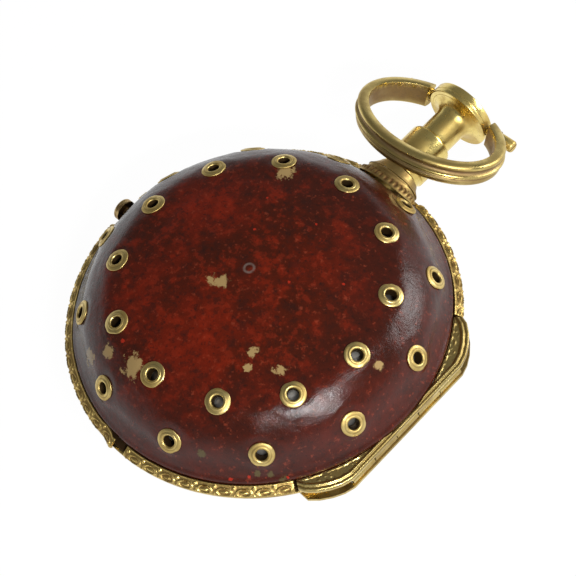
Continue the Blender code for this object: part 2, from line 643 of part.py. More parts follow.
# The outer lip of the upper half stays with the front, so that the back swings clear of the hanging bow
collar_back = piece("collar_back", lofted(collar_rings), GILT, BACK)
shape_with(collar_back, box((-far_out, 0, -far_out), (far_out, far_out, SPLIT_GAP)))
shape_with(collar_back, box((-far_out, COLLAR_PART, -far_out), (far_out, far_out, far_out)))
shape_with(collar_back, spun(around))
shape_with(collar_back, passage())
collar_front = piece("collar_front", lofted(collar_rings), GILT, CASE)
shape_with(collar_front, box((-far_out, 0, -far_out), (far_out, COLLAR_PART + GAP, far_out)))
shape_with(collar_front, box((-far_out, 0, -far_out), (far_out, CASE_RADIUS + GAP, SPLIT_GAP)))
shape_with(collar_front, neck_way())

# Plunger with its flared root and rod, disc head, and the pin of the bow
head_near = BOW_PIVOT - HEAD_THICKNESS / 2
rod_end = INNER_WALL - 7.6 * MM
plunger_profile = [(0, rod_end), (ROD_RADIUS, rod_end), (ROD_RADIUS, PLUNGER_SHOULDER),
                   (PLUNGER_RADIUS, PLUNGER_SHOULDER), (PLUNGER_RADIUS, ROOT_START),
                   (PLUNGER_RADIUS + 0.35 * MM, ROOT_END - 2.6 * MM),
                   (PLUNGER_RADIUS + 1.3 * MM, ROOT_END - 1.1 * MM), (PLUNGER_RADIUS + 3.2 * MM, ROOT_END),
                   (0, ROOT_END)]
piece("plunger", turned(spun(plunger_profile, 24), ALONG_Y), BRASS, PLUNGER)
head_far = BOW_PIVOT + HEAD_THICKNESS / 2
head_profile = [(0, head_near), (HEAD_RADIUS - 0.3 * MM, head_near), (HEAD_RADIUS, head_near + 0.3 * MM),
                (HEAD_RADIUS, head_far - 0.5 * MM), (HEAD_RADIUS - 0.5 * MM, head_far), (0, head_far)]
head = piece("disc_head", turned(spun(head_profile, 36), ALONG_Y), BRASS, PLUNGER)
pin_spot = (0, BOW_PIVOT, PENDANT_HEIGHT)


def bow_pin_way(radius, start):
    """Hole along the pin of the bow, from one place on it to past its end."""
    return rod(radius, (start, *pin_spot[1:]), (PIN_REACH + CUT_ROOM, *pin_spot[1:]), 12)


shape_with(head, bow_pin_way(PIN_RADIUS + GAP, -PIN_REACH))
pin_profile = [(0, -PIN_REACH), (PIN_RADIUS, -PIN_REACH), (PIN_RADIUS, PIN_STEP),
               (PIN_HEAD_RADIUS, PIN_STEP), (PIN_HEAD_RADIUS, PIN_REACH), (0, PIN_REACH)]
along_pin = Matrix.Translation(pin_spot) @ Matrix.Rotation(radians(90), 4, "Y")
piece("bow_pin", turned(spun(pin_profile, 12), along_pin), BRASS, PLUNGER)

# Coiled spring that returns the plunger, drawn at the height it has when the plunger is pushed in
coil = []
COIL_POINTS = 10
wire = SPRING_WIRE / 2
coil_radius = (SLEEVE_BORE + ROD_RADIUS) / 2
coil_from = SLEEVE_FLOOR + GAP + wire
coil_to = PLUNGER_SHOULDER - PLUNGER_STROKE - GAP - wire
for i in range(SPRING_TURNS * COIL_POINTS + 1):
    a = 2 * pi * i / COIL_POINTS
    y = coil_from + (coil_to - coil_from) * i / (SPRING_TURNS * COIL_POINTS)
    ring = []
    for j in range(5):
        b = 2 * pi * j / 5
        r = coil_radius + wire * cos(b)
        ring.append((r * cos(a), y + wire * sin(b), PENDANT_HEIGHT + r * sin(a)))
    coil.append(ring)
piece("plunger_spring", lofted(coil), STEEL, CASE)

# Bow
bow = piece("bow", lofted(BOW_RINGS), GILT, BOW, pin_spot, (BOW_LEAN, 0, 0))
for side_x in (-1, 1):
    ear_start = (side_x * (HEAD_RADIUS + GAP), *pin_spot[1:])
    ear_end = (side_x * (BOW_END_X + EAR_LENGTH), *pin_spot[1:])
    shape_with(bow, rod(EAR_RADIUS, ear_start, ear_end, 16), "UNION")
shape_with(bow, bow_pin_way(PIN_RADIUS + GAP, -PIN_REACH - CUT_ROOM))
shape_with(bow, bow_pin_way(PIN_HEAD_RADIUS + GAP, PIN_STEP - GAP))

# Inner case: pierced bowl, bezel and bull's-eye glass
COARSE = (1, 6)
bowl_outer = dome(BOWL_DEPTH, skipped=COARSE)
bowl_inner = dome(BOWL_DEPTH + INNER_CASE_THICKNESS, skipped=COARSE)
edge = [(INNER_WALL, INNER_CASE_EDGE), (INSIDE, INNER_CASE_EDGE)]
bowl = piece("inner_case_bowl", spun(bowl_outer + edge + bowl_inner[::-1], 28), SILVER, CASE)
PIERCING_RADIUS = 2.0 * MM
PIERCING_INSET = 7.4 * MM
piercing_ring = INNER_WALL - PIERCING_INSET
piercing_height = height_at(bowl_outer, piercing_ring) - INNER_CASE_THICKNESS
piercings = []
for k in range(EYELETS_PER_RING):
    a = radians(60) + 2 * pi * k / EYELETS_PER_RING
    reach = CUT_ROOM * Vector((cos(a) * 0.75, sin(a) * 0.75, 0.66))
    middle = Vector((piercing_ring * cos(a), piercing_ring * sin(a), piercing_height))
    piercings.append(rod(PIERCING_RADIUS, middle - reach, middle + reach, 6))
shape_with(bowl, together(piercings))
shape_with(bowl, turned(rod(ROD_WAY, (0, 0, WELL_INSIDE), (0, 0, CASE_RADIUS), 12), ALONG_Y))

inner_bezel_profile = [(INNER_WALL, INNER_CASE_EDGE - GAP), (INNER_WALL, 11.2 * MM - FRONT_DEPTH),
                       (INNER_WALL - 1.6 * MM, 7.8 * MM - FRONT_DEPTH),
                       (INNER_WALL - 6.0 * MM, 4.1 * MM - FRONT_DEPTH),
                       (INNER_WALL - 7.5 * MM, 4.1 * MM - FRONT_DEPTH),
                       (INNER_WALL - 7.3 * MM, 5.0 * MM - FRONT_DEPTH),
                       (INNER_WALL - 5.6 * MM, 5.4 * MM - FRONT_DEPTH),
                       (INNER_WALL - 1.6 * MM, INNER_CASE_EDGE - GAP)]
piece("inner_bezel", spun(inner_bezel_profile, 28), SILVER, CASE)

glass_edge = INNER_WALL - 6.2 * MM
glass_shares = [(0.0, 1.0), (0.3, 0.978), (0.6, 0.9), (0.83, 0.8), (0.965, 0.693)]
front_face = [(r * glass_edge, -z * GLASS_CROWN) for r, z in glass_shares]
front_face.append((glass_edge, 5.8 * MM - FRONT_DEPTH))
back_face = [(r * 0.985, z + GLASS_THICKNESS) for r, z in front_face[:-1]]
piece("glass", spun(front_face + back_face[::-1], 28), CRYSTAL, CASE)

# Bell in the inner case, with its screw
bell_depth = BOWL_DEPTH + INNER_CASE_THICKNESS + 0.8 * MM
bell_outer = dome(bell_depth, above=0.5, skipped=COARSE)
bell_inner = dome(bell_depth + BELL_THICKNESS, above=0.5, skipped=COARSE)
piece("bell", spun(bell_outer + bell_inner[::-1], 24), GILT, CASE)
bell_under = bell_inner[0][1]
nut_ends = ((0, 0, bell_under - 2.6 * MM), (0, 0, bell_under - 0.7 * MM))
piece("bell_nut", rod(3.0 * MM, *nut_ends, 12), STEEL, CASE)


# Movement plates, pillars and dial
def plate(name, level, look, holes, steps=36):
    """Round plate with round holes."""
    low, high, radius = level
    made = piece(name, slab(circle(radius, steps=steps), low, high), look, CASE)
    drills = [rod(r, (x, y, low - 1 * MM), (x, y, high + 1 * MM), 10) for x, y, r in holes]
    shape_with(made, together(drills))
    return made


fusee_reach = GREAT_WHEEL + CENTRE_PINION + GAP
FUSEE_SPOT = (fusee_reach * cos(FUSEE_ANGLE), fusee_reach * sin(FUSEE_ANGLE))
third_reach = CENTRE_WHEEL + THIRD_PINION + GAP
THIRD_SPOT = (third_reach * cos(THIRD_ANGLE), third_reach * sin(THIRD_ANGLE))
contrate_reach = THIRD_WHEEL + CONTRATE_PINION + GAP
CONTRATE_SPOT = (THIRD_SPOT[0] + contrate_reach * cos(CONTRATE_ANGLE),
                 THIRD_SPOT[1] + contrate_reach * sin(CONTRATE_ANGLE))
BALANCE_SPOT = (CONTRATE_SPOT[0], -12.0 * MM)
ARBOR_RADIUS = 1.0 * MM
SQUARE_RADIUS = 1.5 * MM
CANNON_PIPE = 1.9 * MM
HOUR_PIPE = 2.9 * MM
DIAL_HOLE = HOUR_PIPE + GAP + 0.1 * MM

bottom_plate = plate("pillar_plate", PILLAR_PLATE, BRASS,
                     [(0, 0, ARBOR_RADIUS + GAP), (*FUSEE_SPOT, SQUARE_RADIUS + GAP)])
pillar_spots = [(PILLAR_RING * cos(a), PILLAR_RING * sin(a)) for a in PILLAR_ANGLES]
screw_way = SCREW_RADIUS + GAP
pillars = []
threads = []
for x, y in pillar_spots:
    pillars.append(rod(PILLAR_RADIUS, (x, y, PILLAR_PLATE[0] + 0.5 * MM), (x, y, ARBOR_HIGH), 8))
    threads.append(rod(screw_way, (x, y, ARBOR_HIGH - 3 * MM), (x, y, ARBOR_HIGH + 1 * MM), 8))
shape_with(bottom_plate, together(pillars), "UNION")
shape_with(bottom_plate, together(threads))
top_ways = [(*BALANCE_SPOT, 1.2 * MM)] + [(x, y, screw_way) for x, y in pillar_spots]
plate("top_plate", TOP_PLATE, BRASS, top_ways)
SCREW_PROFILE = [(0, ARBOR_HIGH - 2.6 * MM), (SCREW_RADIUS, ARBOR_HIGH - 2.6 * MM),
                 (SCREW_RADIUS, TOP_PLATE[1] + GAP), (1.8 * MM, TOP_PLATE[1] + GAP),
                 (1.8 * MM, TOP_PLATE[1] + 1.1 * MM), (0, TOP_PLATE[1] + 1.1 * MM)]
for i, (x, y) in enumerate(pillar_spots):
    screw = turned(spun(SCREW_PROFILE, 8), Matrix.Translation((x, y, 0)))
    piece(f"plate_screw_{i + 1}", screw, BLUED, CASE)
dial = plate("dial", DIAL, ENAMEL, [(0, 0, DIAL_HOLE), (*FUSEE_SPOT, 2.3 * MM)])
MARK_HALF = 1.1 * MM
MARK_LENGTH = 7.5 * MM
MARK_RISE = 0.4 * MM
MARK_END = DIAL[2] - 2.5 * MM
marks = []
for hour in range(12):
    turn = Matrix.Rotation(radians(30 * hour), 4, "Z")
    low = (-MARK_HALF, MARK_END - MARK_LENGTH, DIAL[0] - MARK_RISE)
    raised = box(low, (MARK_HALF, MARK_END, DIAL[0] + MARK_RISE))
    marks.append(turned(raised, turn))
shape_with(dial, together(marks), "UNION")


# Wheels: an arbor with leaves cut in it, and a toothed wheel on it
def arbor(leaves, stages, x, y):
    """Arbor through stages of (height, radius, leaf depth)."""
    rings = []
    for z, radius, depth in stages:
        ring = []
        for i in range(2 * leaves):
            r = radius - (depth if i % 2 else 0.0)
            a = pi * i / leaves
            ring.append((x + r * cos(a), y + r * sin(a), z))
        rings.append(ring)
    return lofted(rings)


def geared(name, holder, spot, teeth, tip, low, high, stages, leaves=PINION_LEAVES):
    """Wheel welded to its arbor."""
    made = piece(name, slab(toothed(teeth, tip, 0.8 * MM, *spot), low, high), BRASS, holder)
    shape_with(made, arbor(leaves, stages, *spot), "UNION")
    return made


def turner(name, spot, height=0.0):
    """Empty on the axis of a turning piece."""
    return stand(name, (*spot, height), CASE)


thin = ARBOR_RADIUS
step = 0.05 * MM
FUSEE = turner("fusee_axis", FUSEE_SPOT)
geared("fusee_great_wheel", FUSEE, FUSEE_SPOT, WHEEL_TEETH, GREAT_WHEEL, -2.7 * MM, -1.5 * MM,
       [(DIAL[0] + 1.2 * MM, SQUARE_RADIUS, 0), (0.8 * MM, SQUARE_RADIUS, 0), (0.85 * MM, 9.5 * MM, 0),
        (1.9 * MM, 9.5 * MM, 0), (4.6 * MM, 7.0 * MM, 0), (8.2 * MM, 5.4 * MM, 0), (8.25 * MM, thin, 0),
        (ARBOR_HIGH, thin, 0)])
CENTRE = turner("centre_axis", (0, 0))
geared("centre_wheel", CENTRE, (0, 0), WHEEL_TEETH, CENTRE_WHEEL, -0.9 * MM, 0.1 * MM,
       [(-12.1 * MM, thin, 0), (-2.9 * MM - step, thin, 0), (-2.9 * MM, CENTRE_PINION, 0.7 * MM),
        (-1.3 * MM, CENTRE_PINION, 0.7 * MM), (-1.3 * MM + step, thin, 0), (ARBOR_HIGH, thin, 0)])
THIRD = turner("third_axis", THIRD_SPOT)
geared("third_wheel", THIRD, THIRD_SPOT, WHEEL_TEETH, THIRD_WHEEL, 2.0 * MM, 3.0 * MM,
       [(ARBOR_LOW, thin, 0), (-1.1 * MM - step, thin, 0), (-1.1 * MM, THIRD_PINION, 0.7 * MM),
        (0.3 * MM, THIRD_PINION, 0.7 * MM), (0.3 * MM + step, thin, 0), (ARBOR_HIGH, thin, 0)])
CONTRATE = turner("contrate_axis", CONTRATE_SPOT)
contrate_steps = [(ARBOR_LOW, thin, 0), (1.8 * MM - step, thin, 0), (1.8 * MM, CONTRATE_PINION, 0.6 * MM),
                  (3.2 * MM, CONTRATE_PINION, 0.6 * MM), (3.2 * MM + step, thin, 0), (ARBOR_HIGH, thin, 0)]
contrate = geared("contrate_wheel", CONTRATE, CONTRATE_SPOT, CONTRATE_TEETH, CONTRATE_WHEEL,
                  -1.0 * MM, 0.9 * MM, contrate_steps)
dish = [(thin + 0.5 * MM, 0.0), (CONTRATE_WHEEL - 1.9 * MM, 0.0), (CONTRATE_WHEEL - 1.9 * MM, 1.5 * MM),
        (thin + 0.5 * MM, 1.5 * MM)]
shape_with(contrate, turned(spun(dish, 16), Matrix.Translation((*CONTRATE_SPOT, 0))))
crown_turn = (Matrix.Translation((BALANCE_SPOT[0], 0, CROWN_HEIGHT)) @ Matrix.Rotation(radians(90), 4, "X"))
CROWN = turner("crown_axis", (BALANCE_SPOT[0], 0), CROWN_HEIGHT)
crown_bm = turned(slab(toothed(CROWN_TEETH, CROWN_WHEEL, 0.9 * MM), 7.5 * MM, 9.3 * MM), crown_turn)
crown = piece("crown_wheel", crown_bm, BRASS, CROWN)
crown_stages = [(-5.0 * MM, 0.7 * MM, 0), (-3.9 * MM, 0.7 * MM, 0), (-3.85 * MM, CROWN_PINION, 0.6 * MM),
                (-1.2 * MM, CROWN_PINION, 0.6 * MM), (-1.15 * MM, 0.7 * MM, 0), (9.6 * MM, 0.7 * MM, 0)]
shape_with(crown, turned(arbor(PINION_LEAVES, crown_stages, 0, 0), crown_turn), "UNION")

# Mainspring barrel and the chain that joins it to the fusee
barrel = [(0, -2.9 * MM), (1.3 * MM, -2.9 * MM), (1.3 * MM, -1.1 * MM), (BARREL_RADIUS, -1.1 * MM),
          (BARREL_RADIUS, 8.4 * MM), (BARREL_RADIUS - 0.6 * MM, 8.7 * MM), (0, 8.7 * MM)]
piece("mainspring_barrel", turned(spun(barrel, 24), Matrix.Translation((*BARREL_SPOT, 0))), BRASS, CASE)
away = Vector((FUSEE_SPOT[0] - BARREL_SPOT[0], FUSEE_SPOT[1] - BARREL_SPOT[1], 0))
lean = atan2(away.y, away.x)
chain_from = BARREL_RADIUS + GAP
side = atan2(chain_from - 9.8 * MM, away.length)
chain_turn = Matrix.Translation((*BARREL_SPOT, 0)) @ Matrix.Rotation(lean + side, 4, "Z")
chain = box((0, chain_from, 1.1 * MM), (away.length * cos(side), chain_from + 0.7 * MM, 2.2 * MM))
piece("fusee_chain", turned(chain, chain_turn), STEEL, CASE)

# Balance with the verge, its cock, hairspring and regulator disc
BALANCE = turner("balance_axis", BALANCE_SPOT)
balance_rim = circle(BALANCE_RADIUS, *BALANCE_SPOT, steps=28)
balance = piece("balance_wheel", slab(balance_rim, 12.2 * MM, 13.2 * MM), GILT, BALANCE)
windows = []
for k in range(3):
    first = radians(120 * k + 8)
    last = radians(120 * k + 112)
    outer = circle(BALANCE_RADIUS - 1.4 * MM, *BALANCE_SPOT, steps=8, start=first, end=last)
    inner = circle(2.6 * MM, *BALANCE_SPOT, steps=4, start=last - radians(14), end=first + radians(14))
    windows.append(slab(outer + inner, 11.5 * MM, 14.0 * MM))
shape_with(balance, together(windows))
shape_with(balance, rod(0.6 * MM, (*BALANCE_SPOT, -2.6 * MM), (*BALANCE_SPOT, 13.7 * MM), 8), "UNION")
for height in (-0.2 * MM, 5.6 * MM):
    low = (BALANCE_SPOT[0] - 0.4 * MM, BALANCE_SPOT[1], height)
    high = (BALANCE_SPOT[0] + 0.4 * MM, BALANCE_SPOT[1] + 1.8 * MM, height + 1.0 * MM)
    shape_with(balance, box(low, high), "UNION")
cock_foot = (7.6 * MM, -3.6 * MM)
cock_turn = atan2(BALANCE_SPOT[1] - cock_foot[1], BALANCE_SPOT[0] - cock_foot[0])
table = circle(6.0 * MM, *BALANCE_SPOT, steps=14,
               start=cock_turn - radians(140), end=cock_turn + radians(140))
heel = circle(3.8 * MM, *cock_foot, steps=8, start=cock_turn + radians(90), end=cock_turn + radians(270))
cock = piece("balance_cock", slab(table + heel, 14.0 * MM, 15.2 * MM), GILT, CASE)
shape_with(cock, rod(3.4 * MM, (*cock_foot, TOP_PLATE[1] + GAP), (*cock_foot, 14.6 * MM), 16), "UNION")
spiral = []
for i in range(31):
    a = 2 * pi * i / 12
    r = 2.0 * MM + 1.3 * MM * a / (2 * pi)
    x = BALANCE_SPOT[0] + r * cos(a)
    y = BALANCE_SPOT[1] + r * sin(a)
    side = (0.15 * MM * cos(a), 0.15 * MM * sin(a))
    spiral.append([(x + side[0], y + side[1], 11.3 * MM), (x + side[0], y + side[1], 11.8 * MM),
                   (x - side[0], y - side[1], 11.8 * MM), (x - side[0], y - side[1], 11.3 * MM)])
piece("hairspring", lofted(spiral), BLUED, CASE)
disc_spot = (17.0 * MM, 14.0 * MM)
regulator = slab(circle(4.8 * MM, *disc_spot, steps=20), TOP_PLATE[1] + GAP, TOP_PLATE[1] + GAP + 0.8 * MM)
piece("regulator_disc", regulator, SILVER, CASE)

# Motion work under the dial, and the hands
MINUTE = turner("minute_hand_axis", (0, 0))
pipe_inner = thin + GAP


def pipe_with(name, holder, outline_bm, outer, inner, low, high, look):
    """Wheel or pinion welded to a pipe, bored through."""
    made = piece(name, outline_bm, look, holder)
    shape_with(made, rod(outer, (0, 0, low), (0, 0, high), 12), "UNION")
    shape_with(made, rod(inner, (0, 0, low - 1 * MM), (0, 0, 0), 12))
    return made


cannon = slab(toothed(CANNON_LEAVES, CANNON_PINION, 0.35 * MM), -6.3 * MM, -5.4 * MM)
pipe_with("cannon_pinion", MINUTE, cannon, CANNON_PIPE, pipe_inner, -12.4 * MM, -5.9 * MM, STEEL)
HOUR = turner("hour_hand_axis", (0, 0))
hour_rim = MINUTE_WHEEL + CANNON_PINION - MINUTE_PINION
pipe_with("hour_wheel", HOUR, slab(toothed(MOTION_TEETH, hour_rim, 0.7 * MM), -7.5 * MM, -6.8 * MM),
          HOUR_PIPE, CANNON_PIPE + GAP, -10.2 * MM, -7.2 * MM, BRASS)
MINUTE_SPOT = (0.0, MINUTE_WHEEL + CANNON_PINION + GAP)
MOTION = turner("minute_wheel_axis", MINUTE_SPOT)
minute_steps = [(-7.5 * MM, MINUTE_PINION, 0.6 * MM), (-6.5 * MM, MINUTE_PINION, 0.6 * MM),
                (-6.45 * MM, 0.9 * MM, 0), (PILLAR_PLATE[0] - GAP, 0.9 * MM, 0)]
geared("minute_wheel", MOTION, MINUTE_SPOT, MOTION_TEETH, MINUTE_WHEEL, -6.2 * MM, -5.5 * MM, minute_steps)


def hand(name, holder, length, bow_at, low, high, hole, look):
    """Hand with a pierced boss and a swelling near its point."""
    w = 0.9 * MM
    boss = hole + 1.2 * MM
    outline = circle(boss, steps=10, start=radians(110), end=radians(430))
    blade = [(w * 0.8, bow_at - 2.6 * MM), (w * 2.1, bow_at), (w * 0.7, bow_at + 2.4 * MM),
             (w * 0.35, length), (-w * 0.35, length), (-w * 0.7, bow_at + 2.4 * MM),
             (-w * 2.1, bow_at), (-w * 0.8, bow_at - 2.6 * MM)]
    made = piece(name, slab(outline + blade, low, high), look, holder)
    shape_with(made, rod(hole, (0, 0, low - 1 * MM), (0, 0, high + 1 * MM), 12))
    return made


hand("minute_hand", MINUTE, MARK_END - 8.5 * MM, 24.0 * MM, -11.2 * MM, -10.7 * MM,
     CANNON_PIPE + GAP, BLUED)
hand("hour_hand", HOUR, MARK_END - 20.5 * MM, 16.0 * MM, -10.0 * MM, -9.6 * MM, HOUR_PIPE + GAP, BLUED)

# Repeating work: rack on the plunger rod, its wheel, and the hammer on the bell
rack_far = rod_end - GAP
rack_near = rod_end - 13.3 * MM
rack_half = 2.0 * MM
rack = [(rack_half, rack_near), (rack_half, rack_far)]
for i in range(8):
    y = rack_far - 0.3 * MM - i * 1.57 * MM
    rack += [(-rack_half, y), (-rack_half + 0.6 * MM, y - 0.78 * MM)]
rack.append((-rack_half + 0.6 * MM, rack_near))
piece("repeat_rack", slab(rack, 2.2 * MM, 4.2 * MM), STEEL, PLUNGER)
REPEAT_SPOT = (-(rack_half + REPEAT_WHEEL + GAP), rod_end - 8.3 * MM)
REPEAT = turner("repeat_axis", REPEAT_SPOT)
geared("repeat_wheel", REPEAT, REPEAT_SPOT, MOTION_TEETH, REPEAT_WHEEL, 2.4 * MM, 3.8 * MM,
       [(ARBOR_LOW, thin, 0), (ARBOR_HIGH, thin, 0)], 4)
hammer_ring = TOP_PLATE[2] - HAMMER_PIVOT_INSET
HAMMER_PIVOT = (hammer_ring * cos(HAMMER_PIVOT_ANGLE), hammer_ring * sin(HAMMER_PIVOT_ANGLE))
strike = bell_inner[-1][0] - 1.9 * MM
arm_ring = strike + 1.4 * MM
HAMMER = turner("hammer_axis", HAMMER_PIVOT)
reach = Vector((arm_ring * cos(HAMMER_HEAD_ANGLE) - HAMMER_PIVOT[0],
                arm_ring * sin(HAMMER_HEAD_ANGLE) - HAMMER_PIVOT[1], 0))
reach_turn = atan2(reach.y, reach.x)
arm_root = circle(2.4 * MM, *HAMMER_PIVOT, steps=8,
                  start=reach_turn + radians(60), end=reach_turn + radians(300))
across = Vector((-reach.y, reach.x, 0)).normalized() * 0.9 * MM
tip_end = Vector((*HAMMER_PIVOT, 0)) + reach
arm = arm_root + [(tip_end - across).to_tuple()[:2], (tip_end + across).to_tuple()[:2]]
hammer = piece("bell_hammer", slab(arm, 6.0 * MM, 7.6 * MM), STEEL, HAMMER)
shape_with(hammer, rod(thin, (*HAMMER_PIVOT, ARBOR_LOW), (*HAMMER_PIVOT, ARBOR_HIGH), 8), "UNION")
head_place = Matrix.Rotation(HAMMER_HEAD_ANGLE, 4, "Z")
head_top = bell_inner[-1][1] + 0.8 * MM
head_box = box((strike - 1.7 * MM, -2.2 * MM, 5.6 * MM), (strike, 2.2 * MM, head_top))
head_box = turned(head_box, head_place)
shape_with(hammer, head_box, "UNION")
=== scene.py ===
import random
from math import asin, atan2, cos, degrees, exp, hypot, pi, radians, sin, sqrt

import bpy
from mathutils import Matrix, Vector, noise


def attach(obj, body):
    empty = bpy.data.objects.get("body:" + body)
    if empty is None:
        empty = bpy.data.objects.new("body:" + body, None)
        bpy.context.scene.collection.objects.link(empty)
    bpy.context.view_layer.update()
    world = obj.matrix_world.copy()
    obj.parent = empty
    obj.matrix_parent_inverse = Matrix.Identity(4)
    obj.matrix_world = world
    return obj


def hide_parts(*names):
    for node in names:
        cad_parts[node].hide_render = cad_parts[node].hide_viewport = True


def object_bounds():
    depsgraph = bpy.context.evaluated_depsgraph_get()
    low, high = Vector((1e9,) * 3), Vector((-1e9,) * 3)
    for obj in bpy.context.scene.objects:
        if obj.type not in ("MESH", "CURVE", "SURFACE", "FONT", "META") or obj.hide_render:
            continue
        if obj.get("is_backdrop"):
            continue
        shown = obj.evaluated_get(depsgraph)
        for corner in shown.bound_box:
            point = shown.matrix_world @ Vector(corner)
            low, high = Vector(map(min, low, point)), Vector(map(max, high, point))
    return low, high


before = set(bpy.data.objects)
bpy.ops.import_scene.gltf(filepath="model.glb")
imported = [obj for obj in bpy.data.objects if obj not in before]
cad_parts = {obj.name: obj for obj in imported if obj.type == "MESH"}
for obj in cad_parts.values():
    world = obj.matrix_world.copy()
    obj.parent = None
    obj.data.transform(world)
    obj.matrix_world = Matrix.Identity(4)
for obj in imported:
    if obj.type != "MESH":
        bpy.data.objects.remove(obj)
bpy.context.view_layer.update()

bpy.ops.object.select_all(action="DESELECT")

# Camera: the photograph's angle, from above the hinge side with the pendant away from it
MM = 0.001
CASE = Vector((1.5, -16.85, 17.0)) * MM
EYE = Vector((273.162, -177.792, 523.370)) * MM
ACROSS = Vector((0.72371325, 0.67710406, -0.13330128))
UPWARDS = Vector((-0.53038348, 0.66932224, 0.52028945))
bpy.ops.object.camera_add()
camera = bpy.context.object
camera.name = "photo_camera"
aim = Matrix((ACROSS, UPWARDS, ACROSS.cross(UPWARDS))).transposed()
camera.matrix_world = Matrix.Translation(CASE + EYE) @ aim.to_4x4()
camera.data.lens = 128.36
camera.data.sensor_width = 36.0
bpy.context.scene.camera = camera
bpy.context.scene.view_settings.view_transform = "Standard"


# Floor and light: the watch lies face down on white paper. A narrow window light from the hinge side
# gives the streak on the leather, with two broader weak ones beside it, in an even white surround
def new_finish(name):
    """Material with its node tree and its main shader."""
    finish = bpy.data.materials.new(name)
    finish.use_nodes = True
    tree = finish.node_tree
    return finish, tree, tree.nodes["Principled BSDF"]


def add(tree, kind, **given):
    """Node with its inputs set by name, and its settings by lower-case name."""
    made = tree.nodes.new("ShaderNode" + kind)
    for key, value in given.items():
        if key[0].islower():
            setattr(made, key, value)
        else:
            made.inputs[key.replace("_", " ")].default_value = value
    return made


def maths(tree, first, second, operation="ADD"):
    """Arithmetic on two values or sockets."""
    made = add(tree, "Math", operation=operation)
    for i, value in enumerate((first, second)):
        if isinstance(value, bpy.types.NodeSocket):
            tree.links.new(value, made.inputs[i])
        else:
            made.inputs[i].default_value = value
    return made.outputs[0]


def ranged(tree, value, low, high, to_low=0.0, to_high=1.0):
    """Value brought from one range to another, with soft ends."""
    made = add(tree, "MapRange", interpolation_type="SMOOTHSTEP")
    tree.links.new(value, made.inputs["Value"])
    for key, end in zip(("From Min", "From Max", "To Min", "To Max"), (low, high, to_low, to_high)):
        made.inputs[key].default_value = end
    return made.outputs[0]


def seen_directly(tree):
    """1 for rays that come from the camera, a polished metal or the glass."""
    path = add(tree, "LightPath")
    either = maths(tree, path.outputs["Is Camera Ray"], path.outputs["Is Glossy Ray"], "MAXIMUM")
    return maths(tree, either, path.outputs["Is Transmission Ray"], "MAXIMUM")


def send_blend(tree, share, first, second, output):
    """Send a blend of two shaders to the surface of a material or of the world."""
    blend = add(tree, "MixShader")
    for i, socket in enumerate((share, first, second)):
        tree.links.new(socket, blend.inputs[i])
    tree.links.new(blend.outputs[0], tree.nodes[output].inputs["Surface"])


PAPER_GLOW = 1.02
PAPER_SHARE = 0.96
SURROUND_LEVEL = 0.64
bpy.ops.mesh.primitive_plane_add(size=6.0)
floor = bpy.context.object
floor.name = "floor"
floor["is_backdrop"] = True
paper, tree, shader = new_finish("white_paper")
shader.inputs["Base Color"].default_value = (0.82, 0.82, 0.82, 1.0)
shader.inputs["Roughness"].default_value = 0.9
glow = add(tree, "Emission", Color=(1.0, 1.0, 1.0, 1.0), Strength=PAPER_GLOW)
share = maths(tree, seen_directly(tree), PAPER_SHARE, "MULTIPLY")
send_blend(tree, share, shader.outputs[0], glow.outputs[0], "Material Output")
floor.data.materials.append(paper)

world = bpy.data.worlds.new("surround")
bpy.context.scene.world = world
world.use_nodes = True
tree = world.node_tree
surround = tree.nodes["Background"]
surround.inputs["Strength"].default_value = SURROUND_LEVEL
white = add(tree, "Background", Color=(1.0, 1.0, 1.0, 1.0))
way = add(tree, "TexCoord").outputs["Generated"]
split = add(tree, "SeparateXYZ")
tree.links.new(way, split.inputs[0])
window_side = add(tree, "VectorMath", operation="DOT_PRODUCT")
tree.links.new(way, window_side.inputs[0])
window_side.inputs[1].default_value = (0.866, 0.5, 0.0)
darker_above = ranged(tree, split.outputs["Z"], 0.04, 0.42, 1.0, 0.22)
darker_behind = ranged(tree, window_side.outputs["Value"], -0.5, 0.4, 0.8, 1.0)
reflected = maths(tree, darker_above, darker_behind, "MULTIPLY")
to_camera = add(tree, "LightPath").outputs["Is Camera Ray"]
tree.links.new(maths(tree, reflected, to_camera, "MAXIMUM"), white.inputs["Strength"])
send_blend(tree, seen_directly(tree), surround.outputs[0], white.outputs[0], "World Output")

# Each lamp: azimuth, elevation, distance, width, height and power
WINDOW = (-22, 44, 0.9, 0.24, 0.04, 7.0)
BESIDE_WINDOW = (8, 52, 0.9, 0.40, 0.10, 1.8)
ON_FLANK = (60, 21, 1.2, 0.5, 0.40, 6.5)
for azimuth, elevation, distance, width, height, power in (WINDOW, BESIDE_WINDOW, ON_FLANK):
    away = Vector((cos(radians(azimuth)) * cos(radians(elevation)),
                   sin(radians(azimuth)) * cos(radians(elevation)), sin(radians(elevation))))
    bpy.ops.object.light_add(type="AREA", location=CASE + distance * away)
    lamp = bpy.context.object
    lamp.data.shape = "RECTANGLE"
    lamp.data.size = width
    lamp.data.size_y = height
    lamp.data.energy = power
    lamp.rotation_euler = away.to_track_quat("Z", "Y").to_euler()


# Leather cover: thin calf stretched wet over the domed brass back, dyed oxblood and polished.
# Each sound hole is punched through it, and its skirt is tucked behind the stamped rim
def station(profile, share):
    """Point at a share of the way through a list of points, on a smooth curve through them."""
    x = share * (len(profile) - 1)
    i = min(int(x), len(profile) - 2)
    t = x - i
    spots = [profile[max(0, min(len(profile) - 1, i + k))] for k in (-1, 0, 1, 2)]
    return tuple(0.5 * (2 * b + (c - a) * t + (2 * a - 5 * b + 4 * c - d) * t * t
                        + (3 * b - a - 3 * c + d) * t ** 3)
                 for a, b, c, d in zip(*spots))


